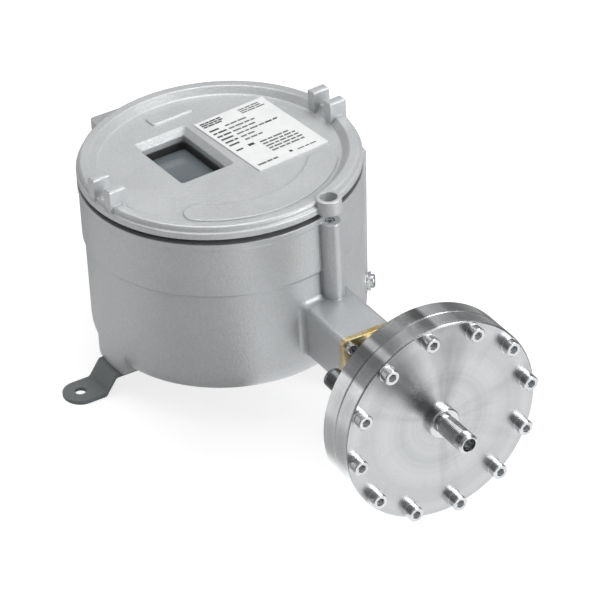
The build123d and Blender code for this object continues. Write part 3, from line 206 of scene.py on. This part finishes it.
def turned_metal_group():
    """Rings left by a lathe about the axis along Y through a centre in X and Z.
    Height is a noise of the distance from that axis. Rim is one beyond the rim's radius, less a hair.
    Fan is painted reflection of the rings: near one in some sectors, counted from the top, with
    streaks along the radius; the face has soft sectors and the rim sharp ones."""
    tree, put, sums, given, out = new_group(
        "turned_metal", {"Centre X": 0.0, "Centre Z": 0.0, "Ring Size": 0.35, "Rim Radius": FLANGE_R},
        {"Height": FLOAT, "Tone": FLOAT, "Smear": FLOAT, "Fan": FLOAT, "Rim": FLOAT})
    hair = 0.0004
    place = object_place(put)
    part = put("ShaderNodeSeparateXYZ", {0: place}).outputs
    across = sums("SUBTRACT", part["X"], given.outputs["Centre X"])
    up = sums("SUBTRACT", part["Z"], given.outputs["Centre Z"])
    radius = sums("SQRT", sums("ADD", sums("MULTIPLY", across, across), sums("MULTIPLY", up, up)))
    angle = sums("ARCTAN2", across, up)
    rings_per_metre = sums("DIVIDE", 1 / MM, given.outputs["Ring Size"])
    spread = put("ShaderNodeCombineXYZ", {"X": sums("MULTIPLY", radius, rings_per_metre),
                                          "Y": sums("MULTIPLY", part["Y"], rings_per_metre)}).outputs[0]

    def sectors(places, soft):
        """The strongest of some sectors: middle and half width in degrees, and strength."""
        strongest = None
        for middle, half, strength in places:
            off = sums("ABSOLUTE", sums("SUBTRACT", angle, math.radians(middle)))
            one = smooth_sector(put, off, math.radians(half), soft, strength)
            strongest = one if strongest is None else sums("MAXIMUM", strongest, one)
        return strongest

    # Painted reflection: dark sectors with streaks along the radius, soft on the face and sharp on the rim
    painted_face_reflection = sectors(((-34, 15, 1.0), (10, 12, 0.5)), 0.22)
    painted_rim_reflection = sectors(((-42, 9, 1.0), (-14, 15, 1.0), (26, 11, 0.55), (62, 24, 0.95)), 0.03)
    rim = sums("GREATER_THAN", radius, sums("SUBTRACT", given.outputs["Rim Radius"], hair))
    painted_reflection_dark = sums("ADD", sums("MULTIPLY", painted_face_reflection, sums("SUBTRACT", 1.0, rim)),
                     sums("MULTIPLY", painted_rim_reflection, rim))
    circle = put("ShaderNodeCombineXYZ", {"X": sums("SINE", angle), "Y": sums("COSINE", angle),
                                          "Z": sums("MULTIPLY", radius, 6.0)}).outputs[0]
    reflection_streak = sums("SUBTRACT", noise(put, circle, 3.4, 3.0, 0.6), 0.5)
    feed(out, {"Fan": sums("ADD", sums("MULTIPLY", painted_reflection_dark, 0.9), sums("MULTIPLY", reflection_streak, 0.8), True),
               "Rim": rim,
               "Height": noise(put, spread, 1.0, 3.0, 0.7),
               "Tone": noise(put, spread, 0.05, 2.0),
               "Smear": noise(put, place, 60.0, 5.0, 0.65)})
    return tree


def surface_grain_group():
    """Fine grain for small pieces: Height and Tone are noises of the place, Edge as in the paint, for
    painted highlights.
    """
    tree, put, sums, given, out = new_group(
        "surface_grain", {"Grain Size": 0.4, "Edge Radius": 0.2},
        {"Height": FLOAT, "Tone": FLOAT, "Edge": FLOAT, "Normal": VECTOR})
    place = object_place(put)
    per_metre = sums("DIVIDE", 1 / MM, given.outputs["Grain Size"])
    normal, edge = rounded_edge(put, sums, sums("MULTIPLY", given.outputs["Edge Radius"], MM))
    feed(out, {"Height": noise(put, place, per_metre, 3.0, 0.6), "Tone": noise(put, place, 130.0, 3.0),
               "Edge": edge, "Normal": normal})
    return tree


CAST_PAINT = cast_paint_group()
TURNED_METAL = turned_metal_group()
SURFACE_GRAIN = surface_grain_group()


# Materials

def new_material(name, **constants):
    """A material with one shader; constants are set on the shader's own sockets."""
    material = bpy.data.materials.new(name)
    material.use_nodes = True
    tree = material.node_tree
    tree.nodes.clear()
    put, sums = nodes_of(tree)
    shader = put("ShaderNodeBsdfPrincipled")
    for key, value in constants.items():
        shader.inputs[key.replace("_", " ").title().replace("Ior", "IOR")].default_value = value
    put("ShaderNodeOutputMaterial", {"Surface": shader.outputs[0]})
    return material, put, sums, shader


def group_outputs(put, group, **given):
    """A group's outputs, with its inputs set to the values given."""
    look = put("ShaderNodeGroup", node_tree=group)
    for key, value in given.items():
        look.inputs[key.replace("_", " ").title()].default_value = value
    return look.outputs


def lighter(colour, gain, lift=0.0):
    return tuple(min(1.0, part * gain + lift) for part in colour)


def cast_paint(name, dark, light, pebble, depth, roughness, crevice_shade, metallic=0.0):
    """Paint on a casting: tone patches, painted shade in crevices down to a share, painted highlights
    on edges, pebbled bump; pebble and depth in mm."""
    material, put, sums, shader = new_material(name, ior=1.5, metallic=metallic)
    look = group_outputs(put, CAST_PAINT, pebble_size=pebble, edge_radius=1.1)
    # Painted shade: the colour darkens in crevices, where little of the sky is open
    shade = value_between(put, look["Crevice"], crevice_shade, 1.0, 0.2, 0.9)
    speck = value_between(put, look["Height"], 0.92, 1.08)
    colour = scaled(put, tone_between(put, look["Tone"], dark, light), sums("MULTIPLY", shade, speck))
    # Painted highlight: sharp edges are lightened towards a lighter colour
    feed(shader, {
        "Base Color": blended(put, sums("MULTIPLY", look["Edge"], 0.7), colour, lighter(light, 1.35)),
        "Roughness": value_between(put, look["Tone"], roughness - 0.05, roughness + 0.06),
        "Normal": bumped(put, look["Height"], 0.8, depth * MM, look["Normal"])})
    return material


def turned_metal(name, dark, light, axis, ring, depth, roughness, shade=1.0, rim=1.0):
    """Lathe-turned metal about an axis along Y; its painted reflection darkens it down to shade of its
    colour, and the rim's colour is rim times the face's, a painted reflection that lightens the rim; ring
    and depth in mm."""
    material, put, sums, shader = new_material(name, metallic=1.0)
    look = group_outputs(put, TURNED_METAL, centre_x=axis[0], centre_z=axis[1], ring_size=ring)
    # Painted reflection: the colour darkens in the Fan's sectors down to shade of it
    sheen = value_between(put, look["Fan"], 1.0, shade, 0.0, 1.0)
    # Painted reflection: the rim is made lighter than the face of the same steel
    gain = value_between(put, look["Rim"], 1.0, rim, 0.0, 1.0)
    rounded = put("ShaderNodeBevel", {"Radius": 0.0003}, samples=BEVEL_SAMPLES).outputs[0]
    feed(shader, {
        "Base Color": scaled(put, tone_between(put, look["Tone"], dark, light),
                             sums("MULTIPLY", sheen, gain)),
        "Roughness": value_between(put, look["Smear"], roughness - 0.06, roughness + 0.08),
        "Normal": bumped(put, look["Height"], 0.5, depth * MM, rounded)})
    return material


def grained(name, dark, light, grain, depth, roughness, metallic=0.0):
    """Small pieces of metal, plastic or rubber with a fine grain and painted highlights on their edges;
    grain and depth in mm."""
    material, put, sums, shader = new_material(name, metallic=metallic)
    look = group_outputs(put, SURFACE_GRAIN, grain_size=grain)
    colour = tone_between(put, look["Tone"], dark, light)
    # Painted highlight: sharp edges are lightened towards a lighter colour
    feed(shader, {
        "Base Color": blended(put, sums("MULTIPLY", look["Edge"], 0.5), colour, lighter(light, 1.5, 0.02)),
        "Roughness": value_between(put, look["Tone"], roughness - 0.05, roughness + 0.07),
        "Normal": bumped(put, look["Height"], 0.4, depth * MM, look["Normal"])})
    return material


def threaded_port(name, tone, axis, thread):
    """Turned port whose outside thread is a wave along its axis, between two places on Y; the
    thread's valleys are darkened with painted shade."""
    dark, light = ((grey, grey + 0.01, grey + 0.02) for grey in (tone, tone + 0.1))
    material = turned_metal(name, dark, light, axis, 0.3, 0.006, 0.2)
    put, sums = nodes_of(material.node_tree)
    shader = next(n for n in material.node_tree.nodes if n.type == "BSDF_PRINCIPLED")
    part = put("ShaderNodeSeparateXYZ", {0: object_place(put)}).outputs
    x = sums("SUBTRACT", part["X"], axis[0])
    z = sums("SUBTRACT", part["Z"], axis[1])
    turn = sums("DIVIDE", sums("ARCTAN2", x, z), 2 * math.pi)
    phase = sums("FRACT", sums("ADD", sums("DIVIDE", part["Y"], THREAD_PITCH), turn))
    tooth = sums("ABSOLUTE", sums("SUBTRACT", phase, 0.5))
    between = sums("MULTIPLY", sums("GREATER_THAN", part["Y"], thread[0]),
                   sums("LESS_THAN", part["Y"], thread[1]))
    radius = sums("SQRT", sums("ADD", sums("MULTIPLY", x, x), sums("MULTIPLY", z, z)))
    outside = sums("MULTIPLY", between, sums("GREATER_THAN", radius, PORT_BORE_EDGE))
    # Painted shade: the thread's valleys darken the colour
    painted_valley_shade = sums("SUBTRACT", 1.0, sums("MULTIPLY", outside, sums("MULTIPLY", tooth, 1.3)))
    plain, smooth = (shader.inputs[key].links[0].from_socket for key in ("Base Color", "Normal"))
    feed(shader, {"Base Color": scaled(put, plain, painted_valley_shade),
                  "Normal": bumped(put, sums("MULTIPLY", tooth, outside), 1.0, THREAD_DEPTH, smooth)})
    return material


def window_glass():
    """Grey glass with a thin film, through which little of the inside shows."""
    material, put, _, shader = new_material(
        "window_glass", metallic=0.0, transmission_weight=0.35, ior=1.5)
    film = noise(put, object_place(put), 45.0, 3.0)
    feed(shader, {"Base Color": tone_between(put, film, (0.20, 0.235, 0.25), (0.245, 0.28, 0.295)),
                  "Roughness": value_between(put, film, 0.08, 0.14)})
    return material


def yellow_zinc():
    """Yellow zinc plate: straw to rose as a slow noise goes over it."""
    material, put, _, shader = new_material("yellow_zinc", metallic=1.0)
    film = noise(put, object_place(put), 70.0, 3.0)
    ramp = put("ShaderNodeValToRGB", {"Fac": film})
    first, last = ramp.color_ramp.elements
    first.position, first.color = 0.32, (0.80, 0.55, 0.20, 1)
    last.position, last.color = 0.68, (0.84, 0.56, 0.36, 1)
    ramp.color_ramp.elements.new(0.5).color = (0.86, 0.74, 0.44, 1)
    feed(shader, {"Base Color": ramp.outputs[0], "Roughness": value_between(put, film, 0.24, 0.34)})
    return material


def flat_ink(name, shade):
    """Matt print with a fine speck, near one grey."""
    material, put, _, shader = new_material(name)
    speck = noise(put, object_place(put), 2200.0, 1.0)
    feed(shader, {"Base Color": tone_between(put, speck, (shade, shade, shade * 1.04),
                                             (shade * 1.6, shade * 1.6, shade * 1.65)),
                  "Roughness": value_between(put, speck, 0.42, 0.5)})
    return material


# Name: dark and light colour, pebbles mm, bump mm, roughness, share of the colour left in crevices by
# painted shade, metallic
CAST_PAINTS = {
    "housing_paint": ((0.54, 0.555, 0.57), (0.58, 0.595, 0.61), 1.6, 0.45, 0.34, 0.6, 0.5),
    "lid_paint": ((0.56, 0.575, 0.585), (0.60, 0.615, 0.625), 1.5, 0.45, 0.36, 0.8, 0.35),
    "foot_paint": ((0.15, 0.165, 0.17), (0.20, 0.215, 0.22), 1.2, 0.25, 0.34, 0.6),
}
# Name: dark and light colour, axis, rings mm, bump mm, roughness, share of the colour left in the painted
# reflection's dark sectors, and the rim's painted lightening over the face as a share
TURNED_METALS = {
    # stainless_face is the same steel as stainless, darker on the face as painted shade and with its rim
    # painted lighter again
    "stainless": ((0.60, 0.61, 0.62), (0.66, 0.67, 0.68), PORT_AXIS, 0.3, 0.03, 0.24, 0.2, 1.5),
    "stainless_face": ((0.43, 0.44, 0.45), (0.50, 0.51, 0.52), PORT_AXIS, 0.3, 0.035, 0.26, 0.3, 1.9),
}
# Name: dark and light colour, grain mm, bump mm, roughness, metallic
GRAINED = {
    "label_plate": ((0.80, 0.81, 0.81), (0.85, 0.86, 0.86), 0.5, 0.01, 0.42),
    "screw_steel": ((0.52, 0.53, 0.54), (0.64, 0.65, 0.66), 0.5, 0.002, 0.22, 1.0),
    "washer_steel": ((0.60, 0.60, 0.60), (0.70, 0.70, 0.70), 0.5, 0.01, 0.26, 1.0),
    "zinc_steel": ((0.50, 0.52, 0.55), (0.62, 0.64, 0.66), 1.5, 0.01, 0.34, 1.0),
    "spring_steel": ((0.34, 0.34, 0.35), (0.46, 0.46, 0.46), 0.3, 0.01, 0.3, 1.0),
    "brass": ((0.62, 0.46, 0.22), (0.75, 0.58, 0.30), 0.4, 0.01, 0.28, 1.0),
    "plated_brass": ((0.60, 0.59, 0.54), (0.70, 0.69, 0.64), 0.4, 0.01, 0.25, 1.0),
    "rubber": ((0.018, 0.018, 0.019), (0.030, 0.030, 0.032), 0.6, 0.04, 0.62),
    "pointer_red": ((0.50, 0.05, 0.03), (0.58, 0.07, 0.05), 0.5, 0.02, 0.38),
    "scale_white": ((0.76, 0.76, 0.74), (0.82, 0.82, 0.80), 0.5, 0.02, 0.42),
    "black_plastic": ((0.022, 0.022, 0.024), (0.034, 0.034, 0.036), 0.5, 0.04, 0.45),
    "button_plastic": ((0.55, 0.08, 0.05), (0.62, 0.11, 0.07), 0.5, 0.02, 0.3),
    "block_plastic": ((0.56, 0.54, 0.48), (0.64, 0.62, 0.56), 0.6, 0.03, 0.45),
    "wire_cover": ((0.06, 0.08, 0.26), (0.09, 0.11, 0.32), 0.6, 0.02, 0.35),
}
MATERIALS = {name: make(name, *row)
             for make, rows in ((cast_paint, CAST_PAINTS), (turned_metal, TURNED_METALS),
                                (grained, GRAINED))
             for name, row in rows.items()}
MATERIALS["port_steel"] = threaded_port("port_steel", 0.52, PORT_AXIS, PORT_THREAD)
# The low-pressure port: the same port steel in a darker tone, as painted shade
MATERIALS["low_port_shaded_steel"] = threaded_port("low_port_shaded_steel", 0.2, LOW_PORT_AXIS, LOW_PORT_THREAD)
MATERIALS["yellow_zinc"] = yellow_zinc()
MATERIALS["window_glass"] = window_glass()

SLOT_OF = {part["node"]: part["material_slot"] for part in frame["record"]["subparts"]}
for name, node in NODES.items():
    # The low-pressure port takes the darker copy of the port steel, which is painted shade
    finish = MATERIALS["low_port_shaded_steel" if name == "low_pressure_port" else SLOT_OF[name]]
    node.data.materials.clear()
    node.data.materials.append(finish)


# New pieces

def turned(angle, x, y):
    """A point, or arrays of x and y, turned about Z."""
    c, s = math.cos(angle), math.sin(angle)
    return c * x - s * y, s * x + c * y


def new_piece(name, points, faces, material):
    """A mesh object from points in mm."""
    mesh = bpy.data.meshes.new(name)
    mesh.from_pydata((points.reshape(-1, 3) * MM).tolist(), [], faces)
    mesh.materials.append(material)
    piece = bpy.data.objects.new(name, mesh)
    bpy.context.scene.collection.objects.link(piece)
    return piece


def printed_bars(name, bars, height, centre, turn, material, body):
    """Flat printed bars on a plate. Each bar is (left, low, width, tall) in mm from the plate's
    middle; a corner (x, y) stands at R(LID_TURN) centre + R(turn) (x, y), with R a turn about Z."""
    rows = np.array(bars, dtype=float)
    x = rows[:, [0]] + rows[:, [2]] * np.array([[0, 1, 1, 0]])
    y = rows[:, [1]] + rows[:, [3]] * np.array([[0, 0, 1, 1]])
    middle_x, middle_y = turned(LID_TURN, *centre)
    x, y = turned(turn, x, y)
    corners = np.stack([middle_x + x, middle_y + y, np.full_like(x, height)], axis=-1)
    faces = np.arange(corners.shape[0] * 4).reshape(-1, 4)
    piece = new_piece(name, corners, faces.tolist(), material)
    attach(piece, body)


def words(left, low, tall, lengths, gap=0.8):
    """A line of print as bars: each length in mm follows the one before after a gap."""
    starts = left + np.concatenate([[0.0], np.cumsum(np.array(lengths[:-1]) + gap)])
    return [(start, low, length, tall) for start, length in zip(starts, lengths)]


def label_print():
    """A plain table on the label: short dark headings at the left, paler entries beside them.
    Places are in mm from the label's left edge and down from its top."""
    left, top = -LABEL_SIZE[0] / 2, LABEL_SIZE[1] / 2
    margin = left + 2.5
    dark, pale = [], []
    for k, line in enumerate([[3.6, 2.8, 4.5, 3.2], [4.8, 3.4, 2.6, 3.5], [3.0, 4.6, 5.2]]):
        down = 2.2 * k
        dark += words(margin, top - 4.2 - down, 1.5, line, 0.5)
        pale += words(left + 31.5, top - 4.6 - down, 1.2, [length + 1.2 for length in line[:3]], 0.6)
    for k, (head, entry) in enumerate([([7.2], [3.2, 5.0, 6.4]), ([3.0, 6.4], [4.2, 6.0, 4.0, 3.0]),
                                       ([4.0, 5.6], [6.2, 4.2, 5.0]), ([9.0], [5.4, 3.0, 6.0, 4.0]),
                                       ([6.2, 2.6], [4.4, 5.2]), ([7.6], [3.8, 4.8, 3.2])]):
        low = top - 15.0 - 4.4 * k
        dark += words(margin, low, 1.7, head)
        pale += words(left + 14.5, low, 1.6, entry)
    for k, line in enumerate([[5.2, 3.4, 6.6, 4.0], [4.0, 6.8, 3.0, 5.2, 2.4], [6.2, 3.0, 4.6, 4.4, 3.4],
                              [3.2, 5.8, 5.4, 3.6, 4.2], [5.0, 4.0, 3.2, 6.4, 3.0]]):
        pale += words(left + 20, top - 45.5 - 3.3 * k, 1.6, line)
    for across, down, tall, lengths in ((36, 28.2, 1.6, [5.2, 3.4]), (12, 44.5, 2.6, [4.4]),
                                        (2.5, 44.5, 1.6, [5.0]), (27.5, 67.0, 2.2, [2.2])):
        dark += words(left + across, top - down, tall, lengths)
    for across, down, tall, lengths in ((3, 67.5, 1.8, [6.0, 4.0, 3.4]), (33, 67.5, 1.2, [5.0, 3.0, 4.6])):
        pale += words(left + across, top - down, tall, lengths)
    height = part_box("nameplate")[1][2] / MM + LABEL_INK
    printed_bars("label_headings", dark, height, LABEL_CENTRE, LABEL_TURN, flat_ink("dark_ink", 0.03),
                 "lid")
    printed_bars("label_entries", pale, height, LABEL_CENTRE, LABEL_TURN, flat_ink("pale_ink", 0.11),
                 "lid")


def window_shade_liner():
    """Black sealing strip round the glass, inside the throat, whose black also stands in for the shade on
    the throat's lower walls: painted shade. Its section is a thin upright band;
    its plan is the rounded rectangle x = a sgn(cos u)|cos u|^p, y = b sgn(sin u)|sin u|^p with p = 0.12."""
    u = np.linspace(0, 2 * math.pi, LINER_STEPS, endpoint=False) + math.pi / LINER_STEPS
    plan_x, plan_y = (np.sign(wave) * np.abs(wave) ** LINER_CORNER for wave in (np.cos(u), np.sin(u)))
    middle_x, middle_y = turned(LID_TURN, *WINDOW_CENTRE)
    rings = []
    for inset, height in LINER_SECTION:
        x, y = turned(WINDOW_TURN, plan_x * (WINDOW_THROAT[0] / 2 - inset),
                      plan_y * (WINDOW_THROAT[1] / 2 - inset))
        level = np.full_like(x, THROAT_LOW / MM + height)
        rings.append(np.column_stack([middle_x + x, middle_y + y, level]))
    faces = []
    for ring in range(len(LINER_SECTION) - 1):
        low, high = ring * LINER_STEPS, (ring + 1) * LINER_STEPS
        for k in range(LINER_STEPS):
            after = (k + 1) % LINER_STEPS
            faces.append((low + k, low + after, high + after, high + k))
    piece = new_piece("window_shade_liner", np.concatenate(rings), faces, MATERIALS["rubber"])
    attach(piece, "lid")


window_shade_liner()
label_print()


# Stage, lights and camera

def seen_by_camera(put, sums):
    """One for rays from the camera, also through glass; and the light path's outputs."""
    path = put("ShaderNodeLightPath").outputs
    return sums("MAXIMUM", path["Is Camera Ray"], path["Is Transmission Ray"]), path


def bench():
    """The plane through the three places that the object stands on: two feet and the capsule's rim.
    Camera rays see it mixed with white, so that it is near white and keeps the shadow. Reflections
    see white cards lying on it to the right of the camera and to the left, and grey between them."""
    a, b, c = np.array(BENCH_CONTACTS)
    normal = np.cross(b - a, c - a)
    normal /= np.linalg.norm(normal)
    across = np.cross([0.0, 1.0, 0.0], normal)
    across /= np.linalg.norm(across)
    along = np.cross(normal, across)
    corners = [a - normal * BENCH_GAP + BENCH_HALF * (i * across + j * along)
               for i, j in ((-1, -1), (1, -1), (1, 1), (-1, 1))]
    mesh = bpy.data.meshes.new("bench")
    mesh.from_pydata([tuple(p) for p in corners], [], [(0, 1, 2, 3)])
    floor = bpy.data.objects.new("bench", mesh)
    bpy.context.scene.collection.objects.link(floor)
    material = bpy.data.materials.new("bench_white")
    material.use_nodes = True
    tree = material.node_tree
    tree.nodes.clear()
    put, sums = nodes_of(tree)
    part = put("ShaderNodeSeparateXYZ", {0: put("ShaderNodeNewGeometry").outputs["Position"]}).outputs
    side_x, side_y = CAMERA_SIDE
    toward = sums("ADD", sums("MULTIPLY", part["X"], side_x), sums("MULTIPLY", part["Y"], side_y))
    beside = sums("ADD", sums("MULTIPLY", part["X"], -side_y), sums("MULTIPLY", part["Y"], side_x))
    angle = sums("ARCTAN2", beside, toward)

    def card(middle, half, soft, strength):
        """Light from a sector of the floor about the pot, in degrees from the camera's side of it."""
        off = sums("ABSOLUTE", sums("SUBTRACT", angle, math.radians(middle)))
        return smooth_sector(put, off, math.radians(half), math.radians(soft), strength)

    grey = 0.34
    cards = sums("ADD", grey, sums("ADD", card(40, 30, 7, 1.0), card(-82, 32, 14, 0.3)))
    seen, path = seen_by_camera(put, sums)
    mirrored = sums("MULTIPLY", path["Is Glossy Ray"], sums("SUBTRACT", 1.0, seen))
    strength = sums("ADD", sums("MULTIPLY", seen, 1.3), sums("MULTIPLY", mirrored, cards))
    share = sums("ADD", sums("MULTIPLY", seen, 0.6), sums("MULTIPLY", mirrored, 0.9))
    glow = put("ShaderNodeEmission", {"Color": (1, 1, 1, 1), "Strength": strength})
    matt = put("ShaderNodeBsdfDiffuse", {"Color": (0.93, 0.93, 0.93, 1)})
    mix = put("ShaderNodeMixShader", {0: share, 1: matt.outputs[0], 2: glow.outputs[0]})
    put("ShaderNodeOutputMaterial", {"Surface": mix.outputs[0]})
    mesh.materials.append(material)


def studio_world():
    """White to the camera; to all other rays a grey room that gets lighter upwards."""
    world = bpy.data.worlds.new("studio")
    bpy.context.scene.world = world
    world.use_nodes = True
    tree = world.node_tree
    tree.nodes.clear()
    put, sums = nodes_of(tree)
    seen, _ = seen_by_camera(put, sums)
    part = put("ShaderNodeSeparateXYZ", {0: put("ShaderNodeTexCoord").outputs["Generated"]}).outputs
    room = value_between(put, part["Z"], 0.17, 0.45, 0.15, 0.75)
    strength = value_between(put, seen, room, 1.0, 0.0, 1.0)
    sky = put("ShaderNodeBackground", {"Color": (1, 1, 1, 1), "Strength": strength})
    put("ShaderNodeOutputWorld", {"Surface": sky.outputs[0]})


def soft_box(name, place, aim, size, power):
    """A rectangular lamp at a place, turned to its aim; metres and watts."""
    data = bpy.data.lights.new(name, "AREA")
    data.shape = "RECTANGLE"
    data.size, data.size_y = size
    data.energy = power
    lamp = bpy.data.objects.new(name, data)
    lamp.location = place
    lamp.rotation_euler = (Vector(aim) - Vector(place)).to_track_quat("-Z", "Y").to_euler()
    bpy.context.scene.collection.objects.link(lamp)


def photo_camera():
    """Camera 3 m from the lid's rim, turned and rolled as the photograph's was."""
    back = Vector((math.sin(CAMERA_TURN) * math.cos(CAMERA_RISE),
                   -math.cos(CAMERA_TURN) * math.cos(CAMERA_RISE), math.sin(CAMERA_RISE)))
    level = Vector((math.cos(CAMERA_TURN), math.sin(CAMERA_TURN), 0))
    upward = back.cross(level)
    right = math.cos(CAMERA_ROLL) * level + math.sin(CAMERA_ROLL) * upward
    up = -math.sin(CAMERA_ROLL) * level + math.cos(CAMERA_ROLL) * upward
    place = Vector((0, 0, LID_CREST)) + CAMERA_AWAY * back + CAMERA_SHIFT[0] * right + CAMERA_SHIFT[1] * up
    data = bpy.data.cameras.new("photo_camera")
    data.lens = 288.0
    data.sensor_width = 36.0
    data.clip_end = 20.0
    camera = bpy.data.objects.new("photo_camera", data)
    camera.matrix_world = Matrix.Translation(place) @ Matrix((right, up, back)).transposed().to_4x4()
    bpy.context.scene.collection.objects.link(camera)
    bpy.context.scene.camera = camera


bench()
studio_world()
soft_box("overhead", (0.2, 0.25, 1.6), (0.0, -0.05, 0.1), (1.2, 1.2), 14.0)
soft_box("left_strip", (-1.05, 0.85, 0.6), (0.0, 0.0, 0.07), (0.25, 0.9), 0.6)
soft_box("front_right", (0.70, -1.22, 0.6), (0.0, -0.05, 0.06), (0.7, 0.9), 15.0)
photo_camera()
bpy.context.scene.view_settings.view_transform = "Standard"
